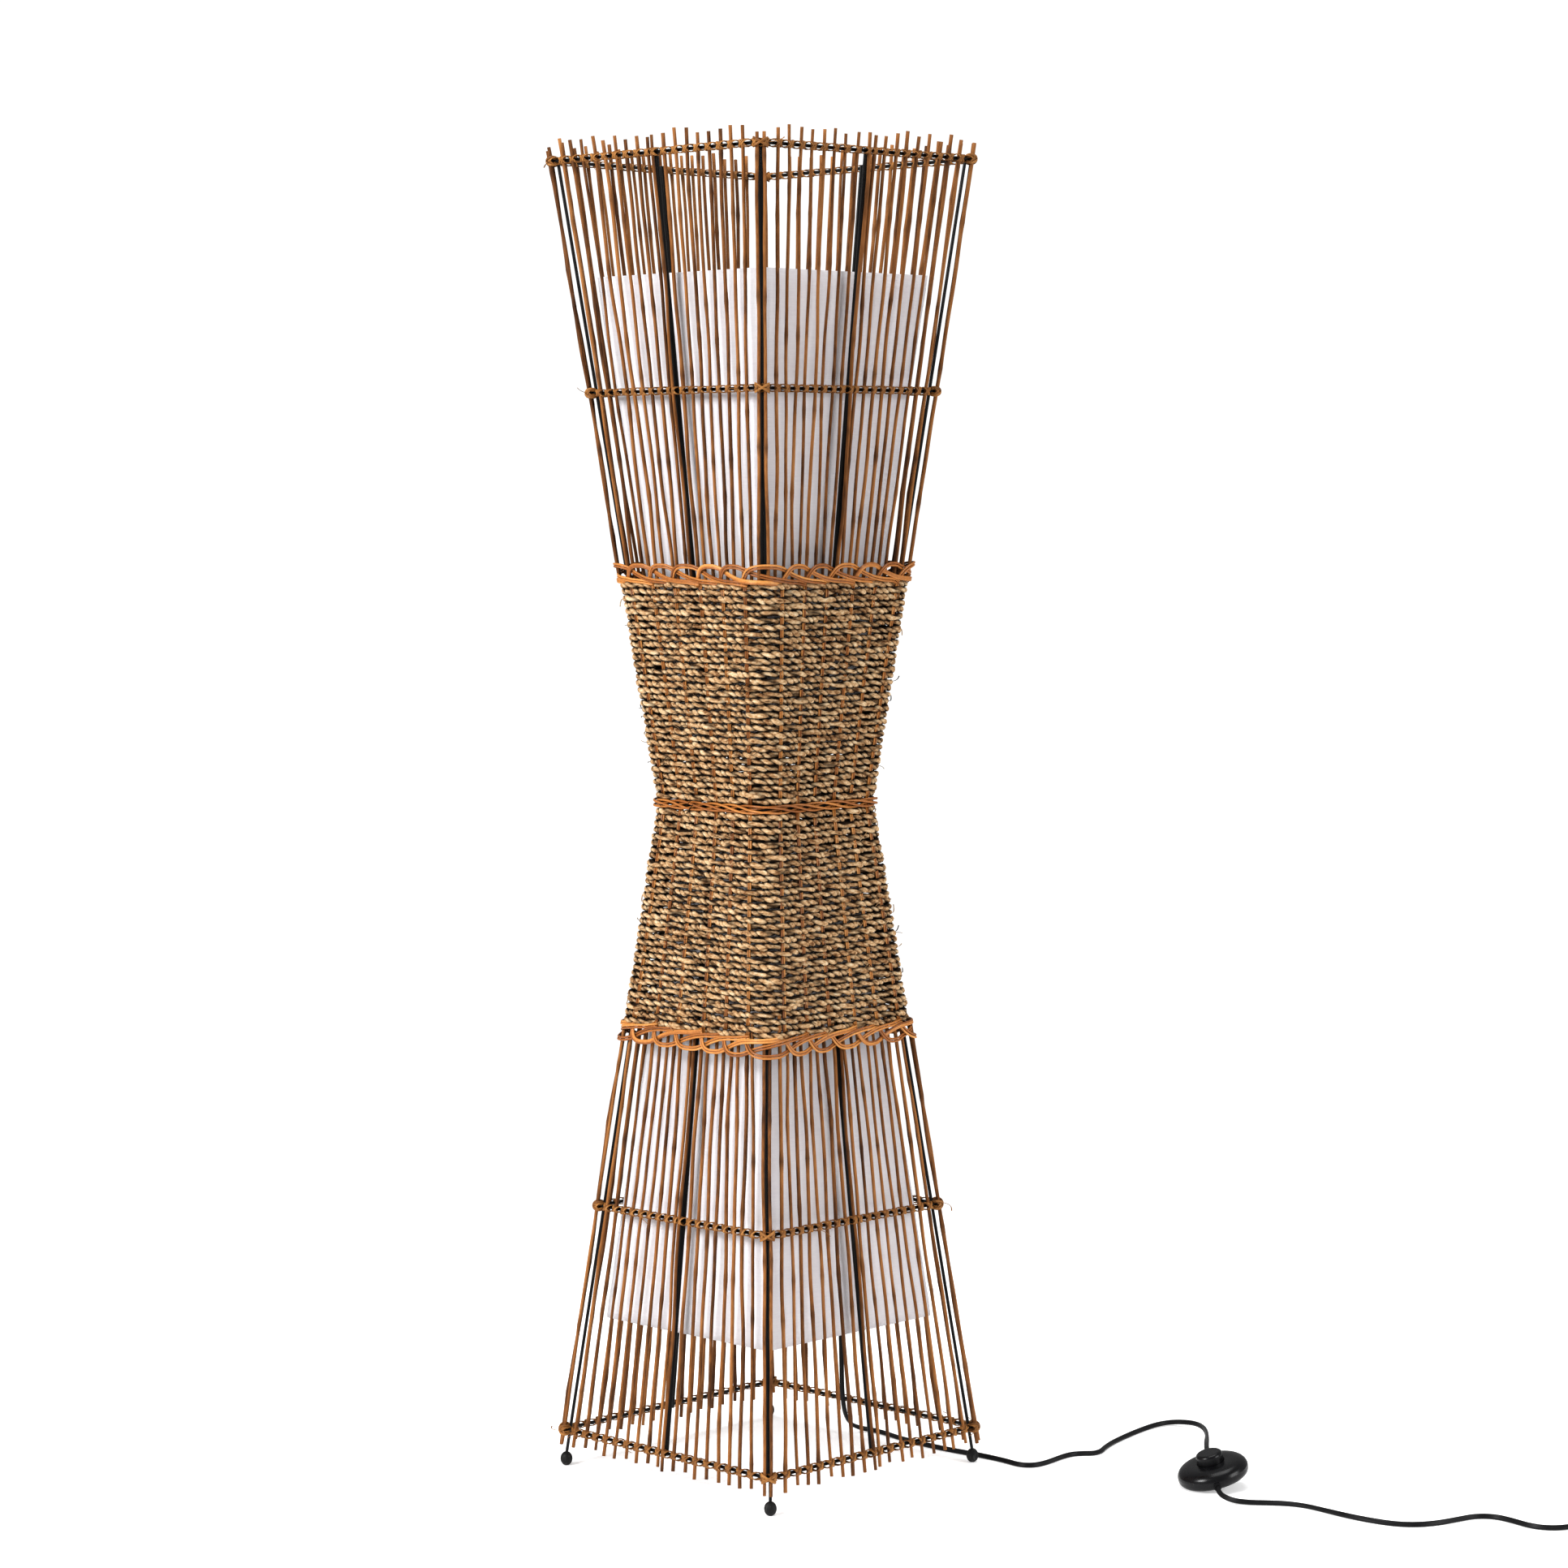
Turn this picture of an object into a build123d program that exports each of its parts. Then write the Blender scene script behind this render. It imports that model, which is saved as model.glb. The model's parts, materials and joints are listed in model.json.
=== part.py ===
from build123d import *
import math
import os
import random

# Hourglass floor lamp of rattan and seagrass on a welded wire frame.
# Millimetres, +Z up, origin on the floor at the centre of the four feet.
# The four sides face -Y (front), +X (right), +Y (back) and -X (left).

# ---- Driving dimensions of the cage ----
waist_z = 657.0  # height of the narrow middle of the hourglass
ring_rise = 621.0  # top and bottom rings, above and below the waist
mid_ring_rise = 398.0  # the rings between those and the sleeve
waist_half = 73.0  # half the side of the square waist ring
ring_half = 143.0  # half the side of the top and bottom rings
lamp_height = 1300.0  # the tallest stick ends here

ring_wire = 1.6  # radius of the ring wire
post_wire = 1.5  # radius of each wire of a post
weld = 0.3  # how far welded wires run into each other
clearance = 0.1  # round a piece in its hole

foot_rise = 646.0  # end of a foot rod, below the waist
ball_radius = 6.0
ball_half_height = 7.0
ball_centre_z = 6.6

# ---- Sticks, stakes, weave and lashings ----
stick_radius = 1.65
sticks_per_half_side = 10
first_stick = 3.5  # from the middle of the side to the first stick, at the rings
stick_pitch = 15.0
corner_stick = 141.6  # from the middle of the side to the last stick
stick_offset = ring_wire + stick_radius + clearance / 2
stick_tuck = 200.0  # the sticks end this far from the waist, inside the sleeve
stick_overhang_bottom = 14.5

stake_radius = 1.2
stakes_at = (26.0, 71.0, 116.0)  # from the middle of the side, at ring size
stake_gap = 1.26  # half the spacing of the two canes of a stake

band_rise = 4.5  # half the height of the band at the waist
sleeve_rise = 217.0
border_rise = 234.0
weave_inner = 5.1  # offsets out from the plane of the frame
weave_outer = 9.2
border_inner = 5.2
border_outer = 11.0
corner_inner = 6.0
corner_outer = 12.0

lashing_half_height = 2.9
lashing_thick = 0.8

# ---- Shades ----
shade_gap = 16.0  # from the frame's plane in to the fabric
shade_thick = 1.5
shade_narrow_rise = 48.5
shade_wide_rise = 509.5
hoop_wire = 1.0
hoop_inset = 2.75  # from an end of the fabric to its hoop

# ---- Wiring at the waist ----
bar_thick = 3.0
bar_width = 16.0
cup_radius = 24.0
cup_height = 18.0
cup_wall = 2.0
tube_radius = 5.0
tube_bore = 3.5
nut_radius = 8.1  # to the corners of the hexagon
nut_thick = 4.0
holder_radius = 20.0
holder_length = 55.0
collar_radius = 25.5
cap_radius = 13.2
globe_radius = 30.0
bulb_length = 105.0
gland_end = 44.0

# ---- Cord, switch and plug ----
cord_radius = 2.5
floor_run = 2.6  # height of the cord's middle where it lies on the floor
coil_turn = 32.5  # largest turn of the put-away coil, at the cord's middle
coil_step = 5.0
coil_turns = 4.5
coil_skin = 2.7  # from the middle of the outermost turn to the outside
coil_centre = (745.0, 366.0)
coil_low, coil_high = 0.6, 11.0

switch_at = (374.2, 233.3)
switch_roll, switch_pitch = 14.0, 7.0
switch_radius = 34.5
switch_base_height = 7.0
switch_edge = 6.0  # rounding round the underside
switch_height = 17.0
button_radius = 13.0
button_top = 27.0
button_travel = 3.5
button_edge = 3.5  # rounding round its top
grommet_radius = 3.6
grommet_end = 38.0
cord_height_in_switch = 5.0

plug_rear_y, plug_face_y = 338.0, 302.0
plug_thick = 13.7
plug_width = 35.3
pin_radius = 2.0
pin_length = 19.0
pin_spacing = 18.6

parts = {}
rng = random.Random(11)


# ---- Geometry shared by the cage ----
def half_side(z):
    """Half the side of the frame's square at height z."""
    return waist_half + (ring_half - waist_half) * abs(z - waist_z) / ring_rise


def four_sides(piece):
    """The front piece, turned onto each of the four sides."""
    return [Rot(0, 0, 90 * k) * piece for k in range(4)]


def rod(start, end, radius):
    """A straight round wire, stick or cane between two points."""
    start, end = Vector(*start), Vector(*end)
    run = end - start
    on_end = (Align.CENTER, Align.CENTER, Align.MIN)
    return Plane(origin=start, z_dir=run) * Cylinder(radius, run.length, align=on_end)


def quarter(reach):
    """The wedge of plan that belongs to the front side, as a tall prism."""
    plan = make_face(Polyline((0, 0), (-reach, -reach), (reach, -reach), close=True))
    return Pos(0, 0, -10) * extrude(plan, 2 * waist_z + 20, dir=(0, 0, 1))


def wire_ring(z, half, radius):
    """A square ring of four mitred bars."""
    bar = Pos(0, -half, z) * Rot(0, 90, 0) * Cylinder(radius, 2 * half + 4 * radius)
    return four_sides(bar & quarter(half + 4 * radius))


def quarter_section(z, inner, outer, inner_corner, outer_corner):
    """Plan of one side's share of a square tube, with rounded corners."""
    out, into = half_side(z) + outer, half_side(z) + inner
    if not outer_corner:
        line = Polyline((-out, -out), (out, -out), (into, -into), (-into, -into), close=True)
        return Pos(0, 0, z) * make_face(line)
    bow = math.sqrt(0.5)
    edges = []
    ends = []
    for half, corner in ((out, outer_corner), (into, inner_corner)):
        centre = half - corner
        on_diagonal = centre + corner * bow
        half_way = math.radians(67.5)
        dx, dy = corner * math.cos(half_way), corner * math.sin(half_way)
        arcs = [
            ThreePointArc(
                (side * on_diagonal, -on_diagonal),
                (side * (centre + dx), -centre - dy),
                (side * centre, -half),
            )
            for side in (-1, 1)
        ]
        edges += arcs + [Line((-centre, -half), (centre, -half))]
        ends.append(on_diagonal)
    edges += [Line((side * ends[0], -ends[0]), (side * ends[1], -ends[1])) for side in (-1, 1)]
    return Pos(0, 0, z) * make_face(edges)


def square_band(z_low, z_high, inner, outer, inner_corner=0.0, outer_corner=0.0):
    """A tapering square tube between two heights, in four mitred quarters."""
    sections = [
        quarter_section(z, inner, outer, inner_corner, outer_corner) for z in (z_low, z_high)
    ]
    return four_sides(loft(sections, ruled=True))


def both_ways(rise):
    """The heights that lie that far above and below the waist."""
    return waist_z + rise, waist_z - rise


# ---- Welded frame ----
top_z, bottom_z = both_ways(ring_rise)
upper_mid_z, lower_mid_z = both_ways(mid_ring_rise)
for name, z in (
    ("top_ring", top_z),
    ("upper_mid_ring", upper_mid_z),
    ("waist_ring", waist_z),
    ("lower_mid_ring", lower_mid_z),
    ("bottom_ring", bottom_z),
):
    parts[name] = wire_ring(z, half_side(z), ring_wire)

post_inset = ring_wire + post_wire - weld
corner_inset = post_inset + post_wire * math.sqrt(0.5)


def corner_point(z, side):
    """Middle of one wire of the front right corner post, at height z."""
    middle = half_side(z) - corner_inset
    across = side * post_wire * math.sqrt(0.5)
    return (middle + across, -middle + across, z)


def side_point(z, side):
    """Middle of one wire of the front side's middle post, at height z."""
    return (side * post_wire, -half_side(z) + post_inset, z)


for half_name, way in (("upper", 1), ("lower", -1)):
    start, end = waist_z + way * 1.0, waist_z + way * (ring_rise + 3.0)
    corner = [rod(corner_point(start, s), corner_point(end, s), post_wire) for s in (-1, 1)]
    middle = [rod(side_point(start, s), side_point(end, s), post_wire) for s in (-1, 1)]
    parts[half_name + "_corner_posts"] = [p for wire in corner for p in four_sides(wire)]
    parts[half_name + "_side_posts"] = [p for wire in middle for p in four_sides(wire)]

foot_start = waist_z - ring_rise - 3.6
foot_end = waist_z - foot_rise
foot = rod(corner_point(foot_start, 1), corner_point(foot_end, 1), post_wire)
parts["foot_rods"] = four_sides(foot)

foot_x, foot_y, _ = corner_point(foot_end, 1)
ball_plan = Pos(0, ball_centre_z) * Ellipse(ball_radius, ball_half_height)
ball_right = Pos(ball_radius, ball_half_height) * Rectangle(2 * ball_radius, 2 * ball_half_height)
ball = revolve(Rot(90, 0, 0) * (ball_plan & ball_right), Axis.Z)
parts["foot_balls"] = four_sides(Pos(foot_x, foot_y, 0) * ball - foot)


# ---- Rattan sticks, lashed outside the rings ----
def stick_share(k):
    """Place of stick k along its side, as a share of the half side."""
    if k == sticks_per_half_side - 1:
        return corner_stick / ring_half
    return (first_stick + k * stick_pitch) / ring_half


def stick(share, z_inner, z_outer, offset, radius):
    """One stick of the front side, leaning with the frame."""
    ends = [(share * half_side(z), -half_side(z) - offset, z) for z in (z_inner, z_outer)]
    return rod(ends[0], ends[1], radius)


def stick_ends(way, k, side):
    """Heights of the hidden end and the free end of a stick."""
    hidden = waist_z + way * (stick_tuck - rng.uniform(0, 6))
    if way > 0:
        free = lamp_height - 0.4 if (k, side) == (3, 1) else lamp_height - rng.uniform(1.5, 8)
        free -= 6 if k == sticks_per_half_side - 1 else 0
    else:
        free = bottom_z - stick_overhang_bottom + rng.uniform(-2.5, 2.5)
    return hidden, free


for half_name, way in (("upper", 1), ("lower", -1)):
    for turn, side_name in enumerate(("front", "right", "back", "left")):
        sticks = []
        for k in range(sticks_per_half_side):
            for side in (-1, 1):
                hidden, free = stick_ends(way, k, side)
                one = stick(side * stick_share(k), hidden, free, stick_offset, stick_radius)
                sticks.append(Rot(0, 0, 90 * turn) * one)
        parts[f"{half_name}_sticks_{side_name}"] = sticks

# ---- Paired canes that the sleeve is woven on ----
stakes = []
for way in (1, -1):
    near, far = waist_z + way * 1.5, waist_z + way * (sleeve_rise - 0.2)
    for place in stakes_at:
        for side in (-1, 1):
            for cane in (-1, 1):
                x_near, x_far = (
                    side * place / ring_half * half_side(z) + cane * stake_gap for z in (near, far)
                )
                y_near, y_far = (-half_side(z) - stick_offset for z in (near, far))
                one = rod((x_near, y_near, near), (x_far, y_far, far), stake_radius)
                stakes += four_sides(one)
parts["weaving_stakes"] = stakes

# ---- Woven sleeve, its borders and the band at the waist ----
weave = (weave_inner, weave_outer, corner_inner, corner_outer)
border = (border_inner, border_outer, corner_inner, corner_outer)
parts["seagrass_sleeve_upper"] = square_band(waist_z + band_rise, waist_z + sleeve_rise, *weave)
parts["seagrass_sleeve_lower"] = square_band(waist_z - sleeve_rise, waist_z - band_rise, *weave)
parts["top_braid"] = square_band(waist_z + sleeve_rise, waist_z + border_rise, *border)
parts["bottom_braid"] = square_band(waist_z - border_rise, waist_z - sleeve_rise, *border)
parts["waist_band"] = [
    half
    for low, high in ((waist_z - band_rise, waist_z), (waist_z, waist_z + band_rise))
    for half in square_band(low, high, *weave)
]

# ---- Lashing strips over the sticks at four rings ----
lash_in = stick_offset + stick_radius + clearance / 2
for name, z in (
    ("top_lashing", top_z),
    ("upper_mid_lashing", upper_mid_z),
    ("lower_mid_lashing", lower_mid_z),
    ("bottom_lashing", bottom_z),
):
    low, high = z - lashing_half_height, z + lashing_half_height
    parts[name] = square_band(low, high, lash_in, lash_in + lashing_thick)

# ---- Fabric shades, their wire hoops and fitters ----
holder_rise = bar_thick / 2 + cup_height + nut_thick
flange_low, flange_high = 24.0, 27.0
fitter_thick = 1.5
fitter_rise = holder_rise + flange_high + fitter_thick / 2
fitter_bore = holder_radius + clearance
fitter_radius = 24.5


def hoop_half(z):
    """Half the side of a shade hoop at height z."""
    return half_side(z) - shade_gap - shade_thick - hoop_wire - 0.15


def fitter():
    """Flat ring with four wire arms to the narrow hoop, at height zero."""
    ring = Cylinder(fitter_radius, fitter_thick) - Cylinder(fitter_bore, 2 * fitter_thick)
    reach = hoop_half(waist_z + fitter_rise) - hoop_wire + weld
    arm = rod((fitter_bore + 1.5, 0, 0), (reach, 0, 0), hoop_wire * 0.7)
    for piece in four_sides(arm):
        ring += piece
    return ring


for half_name, way in (("upper", 1), ("lower", -1)):
    narrow, wide = waist_z + way * shade_narrow_rise, waist_z + way * shade_wide_rise
    low, high = min(narrow, wide), max(narrow, wide)
    parts[half_name + "_shade"] = square_band(low, high, -shade_gap - shade_thick, -shade_gap)
    hoops = []
    for z in (waist_z + way * fitter_rise, wide - way * hoop_inset):
        hoops += wire_ring(z, hoop_half(z), hoop_wire)
    parts[half_name + "_shade_hoops"] = hoops
    parts[half_name + "_shade_fitter"] = Pos(0, 0, waist_z + way * fitter_rise) * fitter()

# ---- Crossbar, wiring cup, tubes and nuts ----
bar_reach = 2 * (waist_half - post_inset - post_wire + weld)
bar_hole = Cylinder(tube_radius + clearance, 2 * bar_thick)
parts["waist_crossbar"] = Pos(0, 0, waist_z) * (Box(bar_reach, bar_width, bar_thick) - bar_hole)


def cup():
    """Turned cup, open at the bottom and standing on height zero."""
    up = (Align.CENTER, Align.CENTER, Align.MIN)
    shell = Cylinder(cup_radius, cup_height, align=up)
    shell -= Cylinder(cup_radius - cup_wall, cup_height - cup_wall, align=up)
    return shell - Cylinder(tube_radius + clearance, 3 * cup_height)


def nut():
    """Thin hexagon nut standing on height zero."""
    return extrude(RegularPolygon(nut_radius, 6) - Circle(tube_radius + clearance), nut_thick)


bar_top = waist_z + bar_thick / 2
bar_bottom = waist_z - bar_thick / 2
gland_z = bar_bottom - cup_height / 2
gland_thread = 4.0
gland_hole = Pos(0, cup_radius, gland_z) * Rot(90, 0, 0) * Cylinder(gland_thread, 4 * cup_wall)
parts["wiring_cup"] = Pos(0, 0, bar_bottom) * Rot(180, 0, 0) * cup() - gland_hole
parts["wiring_cup_lid"] = Pos(0, 0, bar_top) * cup()

holder_low_z = waist_z - holder_rise
holder_high_z = waist_z + holder_rise
tube_entry = 9.0


def tube(low, high):
    """Threaded tube between two heights."""
    section = Circle(tube_radius) - Circle(tube_bore)
    return Pos(0, 0, low) * extrude(section, high - low)


lower_tube_top = bar_bottom - cup_height + cup_wall + nut_thick + 2.0
upper_tube_low = bar_bottom - nut_thick - 0.5
parts["threaded_tubes"] = [
    tube(upper_tube_low, holder_high_z + tube_entry),
    tube(holder_low_z - tube_entry, lower_tube_top),
]
parts["lock_nuts"] = [
    Pos(0, 0, z) * nut()
    for z in (
        bar_bottom - nut_thick,
        bar_top + cup_height,
        bar_bottom - cup_height + cup_wall,
        bar_bottom - cup_height - nut_thick,
    )
]

gland_flange = 7.0
gland_nose = 3.6
parts["cord_gland"] = (
    Pos(0, cup_radius - 1.5, gland_z) * Rot(90, 0, 0) * Cylinder(gland_thread, 3.0)
    + Pos(0, cup_radius + 1.5, gland_z) * Rot(90, 0, 0) * Cylinder(gland_flange, 3.0)
    + Pos(0, (cup_radius + 3 + gland_end) / 2, gland_z)
    * Rot(-90, 0, 0)
    * Cone(5.5, gland_nose, gland_end - cup_radius - 3)
)


# ---- Lampholders, collars and bulbs ----
def turned(points):
    """A piece turned about Z from the outline of its right half, (radius, height)."""
    return revolve(Rot(90, 0, 0) * make_face(Polyline(*points, close=True)), Axis.Z)


holder_bore = cap_radius + 0.6
holder_seat = 28.0
holder = turned(
    [
        (tube_radius + clearance, 0),
        (holder_radius, 0),
        (holder_radius, flange_low),
        (holder_radius + 2.5, flange_low),
        (holder_radius + 2.5, flange_high),
        (holder_radius, flange_high),
        (holder_radius, holder_length),
        (holder_bore, holder_length),
        (holder_bore, holder_seat),
        (tube_radius + clearance, holder_seat),
    ]
)
collar_low = flange_high + fitter_thick
collar_thick = 7.0
collar = turned(
    [
        (fitter_bore, collar_low),
        (collar_radius, collar_low),
        (collar_radius - 1.0, collar_low + collar_thick),
        (fitter_bore, collar_low + collar_thick),
    ]
)
cap_low, cap_high = holder_seat + 1.0, holder_seat + 25.5
cap = turned(
    [
        (0, cap_low),
        (5.0, cap_low),
        (cap_radius - 2.0, cap_low + 4.0),
        (cap_radius, cap_low + 6.0),
        (cap_radius, cap_high),
        (0, cap_high),
    ]
)
bulb_tip = cap_low + bulb_length
widest = bulb_tip - globe_radius
neck = Line((cap_radius, cap_high), (cap_radius + 2.0, cap_high + 12.0))
shoulder = Spline(
    (cap_radius + 2.0, cap_high + 12.0),
    (globe_radius, widest),
    tangents=[(0.35, 1.0), (0.0, 1.0)],
)
crown = JernArc((globe_radius, widest), (0, 1), globe_radius, 90)
globe_outline = [neck, shoulder, crown, Line((0, bulb_tip), (0, cap_high))]
globe_outline.append(Line((0, cap_high), (cap_radius, cap_high)))
globe = revolve(Rot(90, 0, 0) * make_face(globe_outline), Axis.Z)

upper_holder_place = Pos(0, 0, holder_high_z)
lower_holder_place = Pos(0, 0, holder_low_z) * Rot(180, 0, 0)
for half_name, place in (("upper", upper_holder_place), ("lower", lower_holder_place)):
    parts[half_name + "_lampholder"] = place * holder
    parts[half_name + "_bulb_globe"] = place * globe
parts["holder_collars"] = [upper_holder_place * collar, lower_holder_place * collar]
parts["bulb_caps"] = [upper_holder_place * cap, lower_holder_place * cap]

# ---- Foot switch, lying tilted on its left edge ----
tilt = math.acos(math.cos(math.radians(switch_roll)) * math.cos(math.radians(switch_pitch)))
edge_centre = switch_radius - switch_edge
switch_lift = edge_centre * math.sin(tilt) + switch_edge * (1 - math.cos(tilt))
switch_place = (
    Pos(switch_at[0], switch_at[1], switch_lift)
    * Rot(0, 0, 45)
    * Rot(switch_pitch, 0, 0)
    * Rot(0, -switch_roll, 0)
)
shell_wall = 2.0
screw_at = 24.0
screw_radius = 1.25
screw_head = 2.6
screw_head_thick = 1.2
boss_radius = 4.0
block_top = 5.5
hole_radius = button_radius + 0.6
flange_radius = button_radius + 2.0
button_low = block_top + button_travel + 1.0  # clears the contact block when pressed
button_flange_top = 12.0
cover_land = button_flange_top + 0.3


def dome(radius, height, low):
    """Shallow dome between two heights, as a turned solid."""
    rise = height - low
    side = Line((radius, low), (radius, low + 0.18 * rise))
    bow = Spline(
        (radius, low + 0.18 * rise),
        (0, height),
        tangents=[(-0.25, 1.0), (-1.0, 0.0)],
    )
    outline = [side, bow, Line((0, height), (0, low)), Line((0, low), (radius, low))]
    return revolve(Rot(90, 0, 0) * make_face(outline), Axis.Z)


def post_at(x, low, high, radius):
    """Upright cylinder between two heights."""
    up = (Align.CENTER, Align.CENTER, Align.MIN)
    return Pos(x, 0, low) * Cylinder(radius, high - low, align=up)


def grommet(way):
    """Cord bush in the rim, in front or behind."""
    inner_y = switch_radius - 4.5
    middle = (inner_y + grommet_end) / 2
    bush = Cylinder(grommet_radius, grommet_end - inner_y)
    return Pos(0, way * middle, cord_height_in_switch) * Rot(90, 0, 0) * bush


grommets = [grommet(way) for way in (1, -1)]
def bowl(radius, low, edge):
    """Flat-bottomed round solid up to the seam, with a rounded lower edge."""
    plain = post_at(0, low, switch_base_height, radius)
    return fillet(plain.edges().group_by(Axis.Z)[0], edge)


base = bowl(switch_radius, 0, switch_edge)
base -= bowl(switch_radius - shell_wall, shell_wall, switch_edge - shell_wall)
for x in (-screw_at, screw_at):
    base += post_at(x, shell_wall - 0.5, switch_base_height, boss_radius)
for x in (-screw_at, screw_at):
    base -= post_at(x, 0, switch_base_height, screw_radius + 0.2)
    base -= post_at(x, 0, screw_head_thick, screw_head + 0.2)

cover = dome(switch_radius, switch_height, switch_base_height)
inner_dome = dome(switch_radius - shell_wall, switch_height - shell_wall, switch_base_height)
mid_dome = dome(switch_radius - 1.0, switch_height - 1.0, switch_base_height)
cover -= inner_dome
cover += post_at(0, cover_land, switch_height, hole_radius + 4.0) & mid_dome
for x in (-screw_at, screw_at):
    cover += post_at(x, switch_base_height, switch_height, boss_radius) & mid_dome
cover -= post_at(0, 0, switch_height + 1.0, hole_radius)
screw_top = switch_base_height + 4.5
for x in (-screw_at, screw_at):
    cover -= post_at(x, switch_base_height, screw_top + 0.5, screw_radius)
for bush in grommets:
    base -= bush
    cover -= bush

button = post_at(0, button_low, button_top, button_radius)
button = fillet(button.edges().group_by(Axis.Z)[-1], button_edge)
button += post_at(0, button_low, button_flange_top, flange_radius)
spring_room = 8.0
spring_seat = 22.0
button -= post_at(0, button_low - 1.0, spring_seat, spring_room)

spring_radius = 5.0
spring_wire = 0.5
spring_turns = 5
spring_low = block_top + spring_wire
spring_rise = spring_seat - spring_wire - spring_low
coil_path = Helix(pitch=spring_rise / spring_turns, height=spring_rise, radius=spring_radius)
spring_section = Plane(origin=coil_path @ 0, z_dir=coil_path % 0) * Circle(spring_wire)
spring = Pos(0, 0, spring_low) * sweep(spring_section, path=coil_path, is_frenet=True)

block = Pos(0, 0, (shell_wall + block_top) / 2) * Box(22, 30, block_top - shell_wall)
screws = [
    post_at(x, 0, screw_head_thick, screw_head) + post_at(x, 0.6, screw_top, screw_radius)
    for x in (-screw_at, screw_at)
]

parts["switch_base"] = switch_place * base
parts["switch_cover"] = switch_place * cover
parts["switch_button"] = switch_place * button
parts["button_spring"] = switch_place * spring
parts["switch_contact_block"] = switch_place * block
parts["switch_grommets"] = [switch_place * bush for bush in grommets]
parts["switch_screws"] = [switch_place * one for one in screws]


# ---- Cords ----
def exit_of(way):
    """Where the cord meets the end of a switch grommet."""
    place = switch_place * Pos(0, way * grommet_end, cord_height_in_switch)
    return tuple(place.position)


lamp_route = [
    (0, gland_end, 646.5),
    (0, 54, 646.5),
    (-2, 62.5, 639),
    (-4.5, 66, 627),
    (-6, 68, 610),
    (-7, 70.5, 588),
    (-9, 74.5, 556),
    (-12.5, 80, 508),
    (-17.5, 86.5, 449),
    (-22, 93.5, 388),
    (-25, 100.5, 326),
    (-25, 107.5, 264),
    (-23, 114.5, 204),
    (-20.5, 120, 152),
    (-19.3, 122, 110),
    (-19, 122.5, 76),
    (-20, 124, 49),
    (-23, 130, 27),
    (-27, 141, 12),
    (-26, 155, 4.6),
    (-16, 163.5, 2.8),
    (1, 164, floor_run),
    (27, 159, floor_run),
    (64, 155, floor_run),
    (101, 156, floor_run),
    (136, 161, floor_run),
    (168, 161.5, floor_run),
    (190, 158, floor_run),
    (202, 167, floor_run),
    (203, 185, floor_run),
    (199, 208, floor_run),
    (198, 226, floor_run),
    (204, 237, floor_run),
    (212, 245, floor_run),
    (211, 257, floor_run),
    (203, 272, floor_run),
    (195, 294, floor_run),
    (188, 324, floor_run),
    (182, 356, floor_run),
    (180, 382, 3.0),
    (187, 397, 4.0),
    (202, 403, 5.2),
    (220, 398, 7.0),
    (243, 380, 9.5),
    (269, 352, 13.0),
    (293, 322, 17.0),
    (312, 298, 19.8),
    (330, 276, 20.6),
    exit_of(1),
]
plug_route = [
    exit_of(-1),
    (408, 197.5, 7.0),
    (418, 191.5, 5.6),
    (430.5, 191.5, 3.6),
    (443, 199, 2.8),
    (456, 210.5, floor_run),
    (470, 221.5, floor_run),
    (488, 228, floor_run),
    (511, 227, floor_run),
    (538, 224.5, floor_run),
    (566, 225.5, floor_run),
    (590, 231, floor_run),
    (606, 243, floor_run),
    (616, 262, floor_run),
    (621, 285, floor_run),
    (626, 306, floor_run),
    (640, 317, floor_run),
    (660, 316, floor_run),
    (683, 311.5, floor_run),
    (700, 316.5, 2.8),
    (710, 329, 3.0),
    (713, 345, 3.2),
]
tail_route = [
    (coil_centre[0] + coil_turn, 356, 8.2),
    (coil_centre[0] + coil_turn, plug_rear_y, plug_thick / 2),
]


def bend_radii(route):
    """Each corner's arc, as large as its two runs allow."""
    points = [Vector(*p) for p in route]
    radii = []
    for a, b, c in zip(points, points[1:], points[2:]):
        turn = math.radians((b - a).get_angle(c - b))
        shorter = min((b - a).length, (c - b).length)
        radii.append(0.45 * shorter / math.tan(turn / 2))
    return radii


def cord_tube(name, route):
    """Round cord along straight runs joined by tangent arcs."""
    radii = bend_radii(route)
    path = FilletPolyline(*route, radius=radii)
    section = Plane(origin=path @ 0, z_dir=path % 0) * Circle(cord_radius)
    solid = sweep(section, path=path, transition=Transition.RIGHT)
    expected = math.pi * cord_radius**2 * path.length
    print(f"{name}: length {path.length:.0f}, tightest {min(radii):.1f} at {radii.index(min(radii)) + 1}")
    print("  radii", " ".join(f"{r:.0f}" for r in radii))
    print(f"  volume / (section x length) {solid.volume / expected:.4f}")
    return solid


parts["lamp_cord"] = cord_tube("lamp_cord", lamp_route)
parts["plug_cord"] = [cord_tube("plug_cord", plug_route), rod(*tail_route, cord_radius)]

coil_outer = coil_turn + coil_skin
coil_inner = coil_turn - 2 * coil_step - coil_skin
coil_ring = Circle(coil_outer) - Circle(coil_inner)
coil_place = Pos(coil_centre[0], coil_centre[1], coil_low)
parts["plug_cord_coil"] = coil_place * extrude(coil_ring, coil_high - coil_low)
coil_length = coil_turns * 2 * math.pi * (coil_turn - coil_step)
print(f"coil holds {coil_length:.0f}")

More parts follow.
